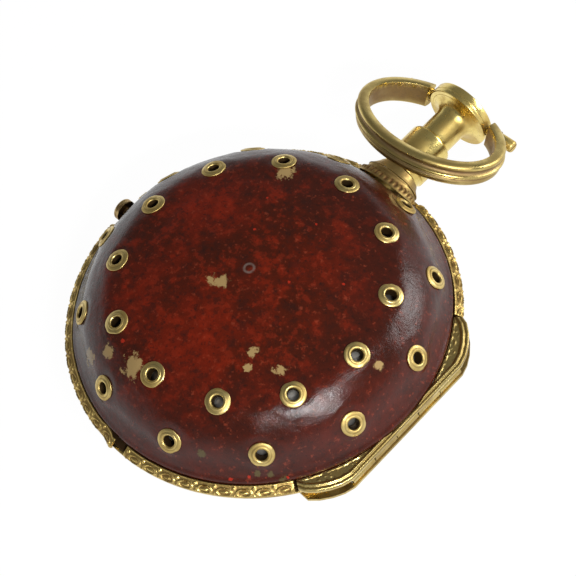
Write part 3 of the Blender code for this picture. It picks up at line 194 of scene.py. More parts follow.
def pick(piece=None):
    """Deselect everything, then select the piece that is to be worked on."""
    bpy.ops.object.select_all(action="DESELECT")
    if piece is not None:
        piece.select_set(True)
        bpy.context.view_layer.objects.active = piece


WELD = 2e-6


def tidy_mesh(piece, crease=35.0):
    """Weld the doubled corners, turn the faces outwards and smooth what isn't a sharp edge."""
    pick(piece)
    bpy.ops.object.mode_set(mode="EDIT")
    bpy.ops.mesh.select_all(action="SELECT")
    bpy.ops.mesh.remove_doubles(threshold=WELD)
    bpy.ops.mesh.dissolve_degenerate(threshold=WELD / 2)
    bpy.ops.mesh.select_all(action="SELECT")
    bpy.ops.mesh.normals_make_consistent(inside=False)
    bpy.ops.object.mode_set(mode="OBJECT")
    bpy.ops.object.shade_smooth_by_angle(angle=radians(crease))


def wrapped(name, columns, rows, place):
    """Sheet that starts as a flat grid, with each corner moved to its place on the real surface, in mm."""
    pick()
    bpy.ops.mesh.primitive_grid_add(x_subdivisions=columns, y_subdivisions=rows, size=1)
    sheet = bpy.context.object
    sheet.name = name
    sheet.data.name = name
    for corner in sheet.data.vertices:
        corner.co = Vector(place(corner.co.x + 0.5, corner.co.y + 0.5)) * MM
    return sheet


def seat(piece, turn=None):
    """Put a finished piece at its place on the case, with its object at the origin."""
    pick(piece)
    piece.matrix_world = Matrix.Translation(CASE) @ (turn or Matrix.Identity(4)) @ piece.matrix_world
    bpy.ops.object.transform_apply(location=True, rotation=True, scale=True)
    return piece


def change(piece, kind, **settings):
    """Add one modifier and apply it at once."""
    pick(piece)
    modifier = piece.modifiers.new(kind.lower(), kind)
    for key, value in settings.items():
        setattr(modifier, key, value)
    bpy.ops.object.modifier_apply(modifier=modifier.name)


def cut(piece, tool, operation="DIFFERENCE"):
    """Cut one shape from a piece, and take the tool away."""
    change(piece, "BOOLEAN", object=tool, operation=operation, solver="EXACT")
    bpy.data.objects.remove(tool)


SKIN = [(0, 1), (0.245, 0.978), (0.42, 0.934), (0.593, 0.868), (0.7295, 0.805), (0.808, 0.706),
        (0.8726, 0.581), (0.925, 0.4375), (0.9634, 0.29), (0.9895, 0.158), (1.0, 0.081)]
SKIN_RADIUS = 57.3
SKIN_HEIGHT = 27.2
# Each ring of sound holes: radius, angle of its first hole, tilt of the holes and height
INNER_RING = (41.4, 90.0, 22.0, 22.0)
OUTER_RING = (52.7, 75.0, 53.0, 12.0)
HOLES_IN_RING = 12
eyelet_frames = []
for ring_radius, first, tilt, height in (INNER_RING, OUTER_RING):
    for k in range(HOLES_IN_RING):
        a = radians(first + 360 / HOLES_IN_RING * k)
        spot = Matrix.Translation(Vector((ring_radius * cos(a), ring_radius * sin(a), height)) * MM)
        eyelet_frames.append(spot @ Matrix.Rotation(a, 4, "Z") @ Matrix.Rotation(radians(tilt), 4, "Y"))
eyelet_ways_back = [one.inverted() for one in eyelet_frames]


def skin_point(share, depth=0.0):
    """Radius and height on the dome at a share of its profile, sunk by a depth."""
    near = station(SKIN, max(0.0, share - 0.004))
    far = station(SKIN, min(1.0, share + 0.004))
    out = Vector(((near[1] - far[1]) * SKIN_HEIGHT, (far[0] - near[0]) * SKIN_RADIUS)).normalized()
    r, z = station(SKIN, share)
    return max(0.0, r * SKIN_RADIUS - out.x * depth), z * SKIN_HEIGHT - out.y * depth


LEATHER_THICKNESS = 1.2
# Where the skin is drawn in and where it swells: height on the dome, spread and depth
SHOULDER = (8.8, 3.6, 0.80)
TUCKED_EDGE = (3.2, 1.2, 0.45)


def leather_place(u, v):
    """Outer side of the skin from the pole down, then its skirt and its inner side back up."""
    a = 2 * pi * u
    outside = v <= 0.7
    share = v / 0.7 if outside else (1 - v) / 0.3
    r, z = skin_point(share, 0.0 if outside else LEATHER_THICKNESS)
    spot = Vector((r * cos(a), r * sin(a), z))
    if not outside:
        return spot
    out = Vector((r * cos(a) / 60, r * sin(a) / 60, 0.6 + z / 40)).normalized()
    lift = 0.22 * noise.noise(spot * 0.055) + 0.09 * noise.noise(spot * 0.16 + Vector((7, 3, 1)))
    lift += 0.05 * noise.noise(spot * 0.45)
    lift -= SHOULDER[2] * exp(-((spot.z - SHOULDER[0]) / SHOULDER[1]) ** 2)
    lift += TUCKED_EDGE[2] * exp(-((spot.z - TUCKED_EDGE[0]) / TUCKED_EDGE[1]) ** 2)
    for frame_of_one, back_to_flat in zip(eyelet_frames, eyelet_ways_back):
        gap = (spot - frame_of_one.translation / MM).length
        if gap < 8.5:
            pull = 1 / (1 + exp((gap - 4.65) / 0.45))
            lift = lift * (1 - pull) + pull * (-0.12 - (back_to_flat @ (spot * MM)).z / MM)
            lift += 0.10 * exp(-((gap - 6.4) / 0.9) ** 2)
    fade = min(1.0, (1 - share) / 0.05)
    return spot + out * lift * fade


leather = wrapped("leather_cover_skin", 240, 110, leather_place)
tidy_mesh(leather)


def round_tool(radius, low, high, frame_of_one=None, corners=40):
    """Round tool along the axis of an eyelet or of the case, in mm."""
    pick()
    bpy.ops.mesh.primitive_cylinder_add(vertices=corners, radius=radius * MM, depth=(high - low) * MM,
                                        location=(0, 0, (high + low) / 2 * MM))
    tool = bpy.context.object
    bpy.ops.object.transform_apply(location=True)
    if frame_of_one:
        tool.matrix_world = frame_of_one
    return tool


def block_tool(low, high):
    """Square tool between two corners, in mm."""
    pick()
    bpy.ops.mesh.primitive_cube_add(size=1.0)
    tool = bpy.context.object
    tool.location = (Vector(low) + Vector(high)) / 2 * MM
    tool.scale = (Vector(high) - Vector(low)) * MM
    return tool


def joined(pieces, name):
    """Several loose pieces as one."""
    pick()
    for one in pieces:
        one.select_set(True)
    bpy.context.view_layer.objects.active = pieces[0]
    bpy.ops.object.join()
    pieces[0].name = name
    pieces[0].data.name = name
    return pieces[0]


PENDANT_HEIGHT = 3.2
PENDANT_HOLE = 4.8
BUTTON_HEIGHT = 2.0
BUTTON_HOLE = 1.6
TOWARDS_PENDANT = Matrix.Translation((0, 0, PENDANT_HEIGHT * MM)) @ Matrix.Rotation(radians(-90), 4, "X")
TOWARDS_BUTTON = Matrix.Translation((0, 0, BUTTON_HEIGHT * MM)) @ Matrix.Rotation(radians(-90), 4, "Y")


def open_for_pendant(piece):
    """Notch for the pendant's sleeve, open at the foot."""
    cut(piece, round_tool(PENDANT_HOLE, 45, 65, TOWARDS_PENDANT))
    cut(piece, block_tool((-PENDANT_HOLE, 45, -5), (PENDANT_HOLE, 65, PENDANT_HEIGHT)))


def open_for_button(piece):
    """Notch for the button's shank, open at the foot."""
    cut(piece, round_tool(BUTTON_HOLE, 50, 65, TOWARDS_BUTTON))
    cut(piece, block_tool((-65, -BUTTON_HOLE, -5), (-50, BUTTON_HOLE, BUTTON_HEIGHT)))


cut(leather, joined([round_tool(3.0, -6, 4, one) for one in eyelet_frames], "punch"))
open_for_pendant(leather)
open_for_button(leather)
tidy_mesh(leather)
seat(leather)


def mixed(tree, share, first, second, blend_type="MIX"):
    """Colour between two colours or sockets."""
    made = add(tree, "Mix", data_type="RGBA", blend_type=blend_type)
    for value, where in ((share, 0), (first, 6), (second, 7)):
        if isinstance(value, bpy.types.NodeSocket):
            tree.links.new(value, made.inputs[where])
        elif where == 0:
            made.inputs[0].default_value = value
        else:
            made.inputs[where].default_value = (*value, 1.0)
    return made.outputs[2]


def clouds(tree, where, scale, detail=4.0, roughness=0.55):
    """Cloudy pattern at a scale in waves per metre."""
    made = add(tree, "TexNoise", Scale=scale, Detail=detail, Roughness=roughness)
    tree.links.new(where, made.inputs["Vector"])
    return made.outputs["Fac"]


def away_from(tree, where, place):
    """Distance from a place on the case, which is given in mm."""
    made = add(tree, "VectorMath", operation="DISTANCE")
    tree.links.new(where, made.inputs[0])
    made.inputs[1].default_value = CASE + Vector(place) * MM
    return made.outputs["Value"]


def spot_mask(tree, where, place, size, ragged, soft=0.15):
    """1 inside a ragged patch round a place on the case, in mm."""
    edge = maths(tree, maths(tree, ragged, -0.5), size * 5.0 * MM, "MULTIPLY")
    reach = maths(tree, away_from(tree, where, place), edge)
    return ranged(tree, reach, size * MM * (1 + soft), size * MM * (1 - soft))


def roughened(tree, shader, height, strength, distance):
    """Bump from a height value."""
    made = add(tree, "Bump", Strength=strength, Distance=distance * MM)
    tree.links.new(height, made.inputs["Height"])
    tree.links.new(made.outputs[0], shader.inputs["Normal"])
    return made


DEEP_OXBLOOD = (0.054, 0.0070, 0.0016)
OXBLOOD = (0.130, 0.0095, 0.0018)
WINE_BROWN = (0.040, 0.0082, 0.0044)
WARM_RED = (0.225, 0.0150, 0.0030)
MOTTLED_RED = (0.240, 0.0200, 0.0060)
RUBBED_RED = (0.30, 0.050, 0.022)
DARKENED = (0.028, 0.0070, 0.0040)
DARK_MOTTLE = (0.030, 0.0070, 0.0040)
PORE_BROWN = (0.018, 0.0055, 0.0035)
BARE_HIDE = (0.35, 0.235, 0.095)
OLIVE_STAIN = (0.085, 0.060, 0.020)
SEALING_RED = (0.36, 0.022, 0.008)
DULL_RING = (0.16, 0.12, 0.10)
BARE_PATCHES = (((-6.6, -42.8, 21.0), 3.0), ((-17.3, -43.2, 19.0), 2.1), ((-24.2, -46.8, 12.3), 2.7),
                ((-6.2, -9.6, 26.7), 1.7), ((-4.8, -9.1, 26.75), 1.6), ((-3.2, -8.4, 26.8), 1.9),
                ((18.7, -19.0, 24.9), 1.4), ((20.8, -23.4, 24.1), 1.3), ((28.4, -17.9, 23.7), 1.6),
                ((47.0, 2.5, 18.5), 1.5), ((-17.5, 33.4, 22.8), 2.6))
STAINS = (((23.4, -48.1, 11.0), 1.4), ((38.0, -41.0, 6.4), 0.9), ((40.6, -38.8, 5.4), 1.0),
          ((43.6, -36.5, 3.6), 1.1))
RED_SPOTS = (((-14.8, -39.0, 21.9), 0.8), ((32.3, -46.5, 4.5), 0.5), ((36.3, -43.0, 5.2), 0.4),
             ((44.4, -35.6, 3.9), 0.5), ((-8.5, 11.0, 26.4), 0.45), ((12.0, 4.0, 26.6), 0.4),
             ((4.0, 24.0, 25.0), 0.45), ((24.0, 14.0, 25.0), 0.45), ((-14.0, 22.0, 25.1), 0.4))
RING_MARK = (-0.1, 0, 27.2)
RING_MARK_RADIUS = 1.45
hide, tree, shader = new_finish("polished_leather")
where = add(tree, "TexCoord").outputs["Object"]
from_middle = away_from(tree, where, (-4, -6, 22))
inner = ranged(tree, from_middle, 0.052, 0.026, 0.15, 1.0)
broad = clouds(tree, where, 34, 5, 0.6)
cells = clouds(tree, where, 150, 6, 0.65)
mottle = clouds(tree, where, 330, 5, 0.6)
fleck = clouds(tree, where, 620, 6, 0.65)
pores = clouds(tree, where, 2400, 3, 0.6)
ragged = clouds(tree, where, 260, 8, 0.75)
warm_cells = maths(tree, ranged(tree, cells, 0.51, 0.66, 0.0, 0.55), inner, "MULTIPLY")
warm_mottle = maths(tree, ranged(tree, mottle, 0.53, 0.64, 0.0, 0.35), inner, "MULTIPLY")
ground = mixed(tree, ranged(tree, broad, 0.38, 0.62), DEEP_OXBLOOD, OXBLOOD)
for share, colour in ((ranged(tree, from_middle, 0.024, 0.050, 0.0, 0.8), WINE_BROWN),
                      (warm_cells, WARM_RED),
                      (ranged(tree, cells, 0.47, 0.33, 0.0, 0.6), DARKENED),
                      (warm_mottle, MOTTLED_RED),
                      (ranged(tree, mottle, 0.46, 0.36, 0.0, 0.5), DARK_MOTTLE),
                      (ranged(tree, fleck, 0.57, 0.70, 0.0, 0.45), RUBBED_RED),
                      (ranged(tree, fleck, 0.44, 0.32, 0.0, 0.6), PORE_BROWN)):
    ground = mixed(tree, share, ground, colour)
for patches, colour in ((BARE_PATCHES, BARE_HIDE), (STAINS, OLIVE_STAIN), (RED_SPOTS, SEALING_RED)):
    for place, size in patches:
        ground = mixed(tree, spot_mask(tree, where, place, size, ragged), ground, colour)
off_ring = maths(tree, away_from(tree, where, RING_MARK), RING_MARK_RADIUS * MM, "SUBTRACT")
off_ring = maths(tree, off_ring, 0.0, "ABSOLUTE")
broken = ranged(tree, ragged, 0.3, 0.6, 0.1, 0.75)
worn_ring = maths(tree, ranged(tree, off_ring, 0.6 * MM, 0.1 * MM), broken, "MULTIPLY")
ground = mixed(tree, worn_ring, ground, DULL_RING)
tree.links.new(ground, shader.inputs["Base Color"])
tree.links.new(ranged(tree, cells, 0.3, 0.7, 0.12, 0.20), shader.inputs["Roughness"])
shader.inputs["Specular IOR Level"].default_value = 0.28
height = add(tree, "SeparateXYZ")
tree.links.new(where, height.inputs[0])
waxed = ranged(tree, height.outputs["Z"], CASE.z + 17 * MM, CASE.z + 6 * MM, 0.0, 0.08)
tree.links.new(waxed, shader.inputs["Coat Weight"])
shader.inputs["Coat Roughness"].default_value = 0.22
grain = maths(tree, clouds(tree, where, 300, 6, 0.6), maths(tree, fleck, 0.5, "MULTIPLY"))
grain = maths(tree, grain, maths(tree, pores, 0.35, "MULTIPLY"))
grain = maths(tree, grain, maths(tree, worn_ring, 0.25, "MULTIPLY"))
roughened(tree, shader, grain, 0.42, 0.30)
leather.data.materials.append(hide)
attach(leather, "back")
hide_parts("leather_cover")


# Back shell and sound-hole eyelets: a raised brass dome under the leather, with 24 turned brass
# tubes riveted through both. Each tube is funnel-mouthed, and its brim presses on the leather
def lathe(name, profile, steps=96, ring=False, bevel=0.0, crease=35.0):
    """Piece turned from a line of (radius, height) points in mm, drawn point by point and spun."""
    pick()
    start = profile[0]
    bpy.ops.mesh.primitive_plane_add(size=MM, location=(start[0] * MM, 0, start[1] * MM))
    piece = bpy.context.object
    piece.name = name
    piece.data.name = name
    bpy.ops.object.mode_set(mode="EDIT")
    bpy.ops.mesh.merge(type="CENTER")
    path = profile + [start] if ring else profile
    for near, far in zip(path, path[1:]):
        step = ((far[0] - near[0]) * MM, 0, (far[1] - near[1]) * MM)
        bpy.ops.mesh.extrude_vertices_move(TRANSFORM_OT_translate={"value": step})
    bpy.ops.mesh.select_all(action="SELECT")
    bpy.ops.mesh.remove_doubles(threshold=1e-7)
    bpy.ops.mesh.spin(steps=steps, angle=2 * pi, center=(0, 0, 0), axis=(0, 0, 1))
    bpy.ops.object.mode_set(mode="OBJECT")
    bpy.ops.object.transform_apply(location=True)
    tidy_mesh(piece, crease)
    if bevel:
        change(piece, "BEVEL", width=bevel * MM, segments=3, limit_method="ANGLE", angle_limit=radians(28))
        bpy.ops.object.shade_smooth_by_angle(angle=radians(crease))
    return piece


def mark_dirt_and_shade(piece, values):
    """Note at each corner how much dirt and painted shade the metal's finish gets there."""
    dirt_and_shade_values = piece.data.attributes.new("dirt_and_shade", "FLOAT", "POINT")
    for index, value in enumerate(values):
        dirt_and_shade_values.data[index].value = value


SOOT_AND_SHADE = (0.035, 0.016, 0.008)
RED_DIRT_AND_SHADE = (0.12, 0.050, 0.022)


def aged_metal(name, bright, dull, gloss=0.26, spread=0.2, patches=90, grime_and_shade=SOOT_AND_SHADE):
    """Old polished metal: brighter where handled, dull and browned elsewhere, dirt in hollows, painted
    shade in gaps and bores.
    """
    finish, tree, shader = new_finish(name)
    where = add(tree, "TexCoord").outputs["Object"]
    patina = ranged(tree, clouds(tree, where, patches, 6, 0.6), 0.36, 0.64)
    fine = clouds(tree, where, 1500, 4, 0.6)
    colour = mixed(tree, patina, bright, dull)
    colour = mixed(tree, ranged(tree, fine, 0.56, 0.75, 0.0, 0.35), colour, grime_and_shade)
    dirt_and_shade = add(tree, "Attribute", attribute_name="dirt_and_shade").outputs["Fac"]
    # Dirt and painted shade, as marked at each corner, darken the colour
    colour = mixed(tree, dirt_and_shade, colour, grime_and_shade)
    tree.links.new(colour, shader.inputs["Base Color"])
    shader.inputs["Metallic"].default_value = 1.0
    worn = ranged(tree, patina, 0.0, 1.0, gloss, gloss + spread)
    tree.links.new(maths(tree, worn, maths(tree, dirt_and_shade, 0.3, "MULTIPLY")), shader.inputs["Roughness"])
    scratches = add(tree, "Mapping", Scale=(1.0, 7.0, 1.0), Rotation=(0.3, 0.2, 0.7))
    tree.links.new(where, scratches.inputs["Vector"])
    lines = clouds(tree, scratches.outputs[0], 420, 3, 0.7)
    roughened(tree, shader, maths(tree, fine, lines), 0.25, 0.06)
    return finish


pale_brass = aged_metal("eyelet_brass", (0.66, 0.51, 0.20), (0.46, 0.33, 0.11), 0.33, 0.18, 200)
shell_brass = aged_metal("inside_brass", (0.50, 0.37, 0.15), (0.30, 0.20, 0.08), 0.34, 0.2, 60)
BUTTON_SEAT = 4.0
shell_profile = [skin_point(i / 40, LEATHER_THICKNESS + 0.3) for i in range(41)]
shell_profile += [(55.8, 1.0), (59.2, 1.0), (59.2, 0.2), (54.6, 0.2)]
shell_profile += [skin_point(1 - i / 20, 2.7) for i in range(21)]
shell = lathe("back_shell_brass", shell_profile, 128)
cut(shell, joined([round_tool(2.75, -8, 4, one, 32) for one in eyelet_frames], "drill"))
open_for_pendant(shell)
cut(shell, block_tool((-11.4, 55.9, -1), (11.4, 65, 2)))
open_for_button(shell)
cut(shell, round_tool(BUTTON_SEAT, 57.9, 70, TOWARDS_BUTTON))
cut(shell, block_tool((55.35, -24, -1), (65, 24, 2)))
tidy_mesh(shell)
seat(shell)
on_shell = [(corner.co - CASE) / MM for corner in shell.data.vertices]
# Painted shade: the shell's foot, seen in the gap under the stamped rim, is darkened almost to black
mark_dirt_and_shade(shell, [0.93 if spot.z < 1.6 and hypot(spot.x, spot.y) > 55.6 else 0.0 for spot in on_shell])
shell.data.materials.append(shell_brass)
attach(shell, "back")
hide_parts("back_shell")

MOUTH = 1.8
BRIM_START = 3.1
eyelet_profile = [(1.6, -2.6), (2.68, -2.6), (2.68, -0.1), (3.64, -0.1), (3.80, 0.04), (3.83, 0.18),
                  (3.70, 0.32), (3.44, 0.42), (3.1, 0.50), (2.82, 0.55), (2.7, 0.58), (2.6, 0.68),
                  (2.46, 0.74), (2.2, 0.74), (2.0, 0.66), (1.84, 0.48), (1.73, 0.2), (1.65, -0.3),
                  (1.6, -1.2)]
pattern = lathe("eyelet_pattern", eyelet_profile, 40, True, 0.0, 60.0)
random.seed(11)
for number, place_of_one in enumerate(eyelet_frames, 1):
    one = pattern.copy()
    one.data = pattern.data.copy()
    one.name = one.data.name = f"eyelet_{number:02d}"
    bpy.context.scene.collection.objects.link(one)
    dent = random.uniform(0, 2 * pi)
    second = random.uniform(0, 2 * pi)
    dirt_and_shade_values = []
    for corner in one.data.vertices:
        r = hypot(corner.co.x, corner.co.y) / MM
        a = atan2(corner.co.y, corner.co.x)
        if r > BRIM_START and corner.co.z > -0.05 * MM:
            bite = 0.07 * exp(-(sin((a - dent) / 2) / 0.12) ** 2)
            bite += 0.05 * exp(-(sin((a - second) / 2) / 0.08) ** 2)
            corner.co.x *= 1 - bite * (r - BRIM_START) / 0.75
            corner.co.y *= 1 - bite * (r - BRIM_START) / 0.75
        if r > 3.0:
            corner.co.z += 0.06 * MM * sin(2 * (a - second))
        r = hypot(corner.co.x, corner.co.y) / MM
        # Painted shade fills the bore inside the mouth; a thinner darker ring runs round the foot of the
        # lip
        dirt_and_shade_values.append(max(0.95 if r < MOUTH else 0.0, 0.45 * exp(-((r - 2.78) / 0.12) ** 2)))
    mark_dirt_and_shade(one, dirt_and_shade_values)
    lean = Matrix.Rotation(radians(random.uniform(-2.5, 2.5)), 4, "X")
    lean = lean @ Matrix.Rotation(radians(random.uniform(-2.5, 2.5)), 4, "Y")
    one.matrix_world = place_of_one @ lean
    seat(one)
    one.data.materials.append(pale_brass)
    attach(one, "back")
    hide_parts("back_shell")
bpy.data.objects.remove(pattern)

# Stamped rim: a gilt strip rolled through a die, bent round the foot of the back and soldered.
# Raised ovals with a bead in each, pairs of small beads between them, and a thread along both edges
BAND_FACE = [(60.0, 0.2), (60.15, 0.65), (60.05, 1.15), (59.6, 1.65), (59.0, 2.1), (58.3, 2.5),
             (57.65, 2.8)]
BAND_BACK = [(57.6, 2.3), (58.5, 1.6), (59.5, 0.9), (59.5, 0.2)]
BAND_WIDTH = 4.03
BAND_MIDDLE = 2.02
BAND_RADIUS = 59.0
EYE_STEP = 5.64
EYE_START = 88.5
BAND_ROWS = 34
FOLD_AT = 265.6
DIP_AT = 261.0


def stamped(along, across):
    """Height of the die's relief, and how deep in a hollow it is, along and across the strip in mm."""
    pitch = 2 * pi * BAND_RADIUS * EYE_STEP / 360
    x = (along / pitch - round(along / pitch)) * pitch
    y = across - BAND_MIDDLE
    wobble = 0.06 * noise.noise(Vector((along * 0.9, across * 1.1, 2.0)))
    oval = sqrt((x / 2.30) ** 2 + (y / 1.08) ** 2) + wobble
    ring = 0.34 * exp(-((oval - 0.88) / 0.15) ** 2)
    bead = 0.42 * exp(-((x / 1.15) ** 2 + (y / 0.42) ** 2) ** 1.3)
    floor_of_eye = -0.12 if oval < 0.88 else 0.0
    edge_x = pitch / 2 - abs(x)
    dots = sum(0.36 * exp(-(((edge_x / 0.40) ** 2 + ((y - side) / 0.40) ** 2) ** 1.3))
               for side in (-1.1, 1.1))
    threads = sum(0.20 * exp(-((across - edge) / 0.17) ** 2) for edge in (0.30, 3.75))
    threads += 0.05 * noise.noise(Vector((along * 1.7, across * 1.9, 9.0)))
    height = ring + bead + dots + threads + floor_of_eye
    return height, max(0.0, min(0.80, 0.50 - height / 0.26))


def fill_openings(piece, weld=False):
    """Close the open ends of a sheet."""
    pick(piece)
    bpy.ops.object.mode_set(mode="EDIT")
    if weld:
        bpy.ops.mesh.select_all(action="SELECT")
        bpy.ops.mesh.remove_doubles(threshold=WELD)
    bpy.ops.mesh.select_all(action="DESELECT")
    bpy.ops.mesh.select_non_manifold()
    bpy.ops.mesh.fill()
    bpy.ops.object.mode_set(mode="OBJECT")


def band_between(name, start, end):
    """One length of the rim, from one angle to another."""
    columns = max(8, int((end - start) / EYE_STEP * 26))
    dirt_and_shade_values = []

    def place(u, v):
        a = radians(start + (end - start) * u)
        row = v * (BAND_ROWS + 5)
        if row <= BAND_ROWS + 0.01:
            share = row / BAND_ROWS
            r, z = station(BAND_FACE, share)
            near = station(BAND_FACE, max(0, share - 0.02))
            far = station(BAND_FACE, min(1, share + 0.02))
            out = Vector((far[1] - near[1], near[0] - far[0])).normalized()
            along = radians(degrees(a) - EYE_START) * BAND_RADIUS
            height, dirt_and_shade = stamped(along, share * BAND_WIDTH)
            ends = min(u, 1 - u) * (end - start)
            if ends < 0.8:
                height, dirt_and_shade = height * ends / 0.8, dirt_and_shade * 0.6
            r, z = r + out.x * height, z + out.y * height
        else:
            r, z = (BAND_BACK + [BAND_FACE[0]])[round(row) - BAND_ROWS - 1]
            # Painted shade on the strip's hidden back face
            dirt_and_shade = 0.8
        r += 0.10 * noise.noise(Vector((cos(a) * 3.1, sin(a) * 3.1, 0.4)))
        r += 0.9 * exp(-((degrees(a) - FOLD_AT) / 1.5) ** 2)
        r -= 0.35 * exp(-((degrees(a) - DIP_AT) / 1.6) ** 2)
        dirt_and_shade_values.append(dirt_and_shade)
        return r * cos(a), r * sin(a), z

    band = wrapped(name, columns, BAND_ROWS + 5, place)
    mark_dirt_and_shade(band, dirt_and_shade_values)
    fill_openings(band, True)
    tidy_mesh(band, 50)
    return seat(band)


gilt = aged_metal("stamped_gilt", (0.74, 0.55, 0.18), (0.44, 0.31, 0.10), 0.26, 0.18, 150, RED_DIRT_AND_SHADE)
for name, start, end in (("rim_band_hinge_to_pendant", 37.5, 78.75),
                         ("rim_band_pendant_to_button", 101.25, 174.3),
                         ("rim_band_button_to_split", 185.7, 266.2),
                         ("rim_band_split_to_hinge", 270.6, 322.5)):
    band = band_between(name + "_stamped", start, end)
    band.data.materials.append(gilt)
    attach(band, "back")
    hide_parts(name)


# Hinge lug and leaf: a cast gilt lug on each half of the case, joined by five knuckles on a steel pin.
# Each is edged with raised mouldings that turn the corners, round a chased strip beside the leather
LUG_OUTLINE = [(48.5, 35.9), (50.6, 35.2), (53.2, 33.0), (55.6, 30.0), (57.4, 26.8), (58.4, 23.5)]
LUG_OUTLINE = [(x, -y) for x, y in LUG_OUTLINE] + LUG_OUTLINE[::-1]
LUG_INNER_RADIUS = 57.65
LUG_REACH = 36.6
LUG_ROWS = 44
STRIP_START = 2.6


def along_line(line, share):
    """Point at a share of the length of a broken line."""
    lengths = [hypot(b[0] - a[0], b[1] - a[1]) for a, b in zip(line, line[1:])]
    left = share * sum(lengths)
    for (a, b), length in zip(zip(line, line[1:]), lengths):
        if left <= length:
            t = left / length
            return a[0] + (b[0] - a[0]) * t, a[1] + (b[1] - a[1]) * t
        left -= length
    return line[-1]


def lug_relief(depth, along, width):
    """Height of the lug's face at a distance in from its outer edge."""
    mouldings = sum(rise * exp(-(((depth - at) / wide) ** 2) ** 1.6)
                    for at, wide, rise in ((0.50, 0.52, 0.38), (1.80, 0.55, 0.62)))
    scroll = 0.0
    if depth > STRIP_START:
        edge = min(1.0, (depth - STRIP_START) / 0.4)
        scroll = (0.42 * noise.noise(Vector((along * 0.85, depth * 1.1, 3.0))) - 0.10) * edge
        scroll += 0.22 * exp(-((width - depth - 0.35) / 0.25) ** 2) * edge
    return mouldings + scroll


lug_dirt_and_shade = []


def lug_place(u, v):
    """Face of the lug from its outer edge to the leather, on a thin foot."""
    outer = along_line(LUG_OUTLINE, u)
    turn = radians(LUG_REACH * (2 * u - 1))
    inner = (LUG_INNER_RADIUS * cos(turn), LUG_INNER_RADIUS * sin(turn))
    width = hypot(outer[0] - inner[0], outer[1] - inner[1])
    row = round(v * LUG_ROWS)
    # Painted shade: the walls at the lug's outer edge and beside the leather are darkened fully
    if row == 0 or row == LUG_ROWS:
        share, height, dirt_and_shade = (0.0 if row == 0 else 1.0), 2.2, 1.0
    else:
        share = (row - 1) / (LUG_ROWS - 2)
        depth = share * width
        relief = lug_relief(depth, u * 76, width)
        height = 2.55 + relief
        dirt_and_shade = max(0.0, min(1.0, 0.65 - relief / 0.3))
        if depth > STRIP_START:
            dirt_and_shade = max(0.0, min(0.85, 0.22 - relief * 2.2))
    lug_dirt_and_shade.append(dirt_and_shade)
    return outer[0] + (inner[0] - outer[0]) * share, outer[1] + (inner[1] - outer[1]) * share, height


lug_face = wrapped("hinge_lug_face", 220, LUG_ROWS, lug_place)
mark_dirt_and_shade(lug_face, lug_dirt_and_shade)
fill_openings(lug_face)
tidy_mesh(lug_face, 50)
seat(lug_face)
LUG_DIRT_AND_SHADE = (0.060, 0.038, 0.016)
lug_gilt = aged_metal("cast_gilt", (0.66, 0.51, 0.19), (0.40, 0.29, 0.10), 0.26, 0.2, 110, LUG_DIRT_AND_SHADE)
lug_face.data.materials.append(lug_gilt)
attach(lug_face, "back")


def refinish(name, finish):
    """Give a part of the frame its real finish."""
    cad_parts[name].material_slots[0].material = finish


steel = aged_metal("old_steel", (0.42, 0.42, 0.43), (0.24, 0.22, 0.20), 0.24, 0.2, 200, (0.05, 0.03, 0.02))
refinish("back_hinge_lug", lug_gilt)
refinish("bezel_hinge_leaf", lug_gilt)
refinish("hinge_pin", steel)

# Front of the outer case: a turned and gilded bezel that carries the inner case, hinged to the back.
# The watch lies on its rim
bezel_profile = [(60.0, -0.2), (60.0, -0.8), (59.9, -1.15), (59.5, -1.5), (58.85, -1.75), (58.62, -2.2),
                 (58.3, -2.8), (57.6, -3.8), (56.8, -5.0), (55.6, -7.0), (54.3, -9.0), (52.9, -11.2),
                 (51.8, -12.8), (51.05, -13.9), (50.8, -14.4), (50.75, -14.9), (50.25, -15.35),
                 (49.95, -16.1), (49.5, -17.0), (48.2, -17.0), (49.0, -14.6), (53.1, -9.0), (55.6, -5.4),
                 (55.6, -0.2)]
bezel = lathe("outer_bezel_turned", bezel_profile, 160, True, 0.1)
cut(bezel, block_tool((55.35, -25.5, -4.1), (70, 25.5, 1)))
cut(bezel, round_tool(PENDANT_HOLE, 50, 65, TOWARDS_PENDANT))
cut(bezel, round_tool(BUTTON_SEAT, 57.9, 70, TOWARDS_BUTTON))
tidy_mesh(bezel)
seat(bezel)
case_gilt = aged_metal("case_gilt", (0.68, 0.51, 0.18), (0.42, 0.29, 0.10), 0.26, 0.2, 70)
bezel.data.materials.append(case_gilt)
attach(bezel, "front_case")
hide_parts("outer_bezel")
refinish("catch_spring", steel)

# Push button: a turned brass cap on a shank that bears on the catch spring, browned by handling
button_profile = [(0, 61.2), (2.9, 61.15), (3.35, 60.95), (3.55, 60.6), (3.6, 60.2), (3.45, 59.9),
                  (3.6, 59.6), (3.6, 59.0), (1.3, 59.0), (1.3, 55.2), (0, 55.2)]
button = lathe("push_button", button_profile, 64, False, 0.1)
seat(button, TOWARDS_BUTTON)
brown_brass = aged_metal("browned_brass", (0.50, 0.36, 0.16), (0.30, 0.19, 0.08), 0.3, 0.2, 240)
button.data.materials.append(brown_brass)
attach(button, "button")
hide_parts("catch_button")


# Collar round the pendant: cast oval lips on the two halves of the case, gadrooned on the edge
# next to the case and drawn in to the sleeve
# Stations: distance from the rim, width and height of the oval, and how closely it follows the case
COLLAR = [(-10.0, 1.0, 1.0, 0.0), (-3.2, 1.0, 1.0, 1.0), (-1.75, 1.0, 1.0, 1.0), (-1.3, 0.965, 0.985, 1.0),
          (-1.1, 0.90, 0.95, 1.0), (-0.6, 0.885, 0.975, 0.85), (-0.1, 0.885, 1.01, 0.7),
          (0.3, 0.85, 0.985, 0.55), (0.75, 0.79, 0.96, 0.38), (1.3, 0.73, 0.94, 0.2),
          (1.8, 0.695, 0.925, 0.05), (2.1, 0.68, 0.92, 0.0)]
COLLAR_WIDTH = 10.8
COLLAR_HEIGHT = 6.5
RIM_REACH = 60.0
LOBES = 34
collar_depths = []


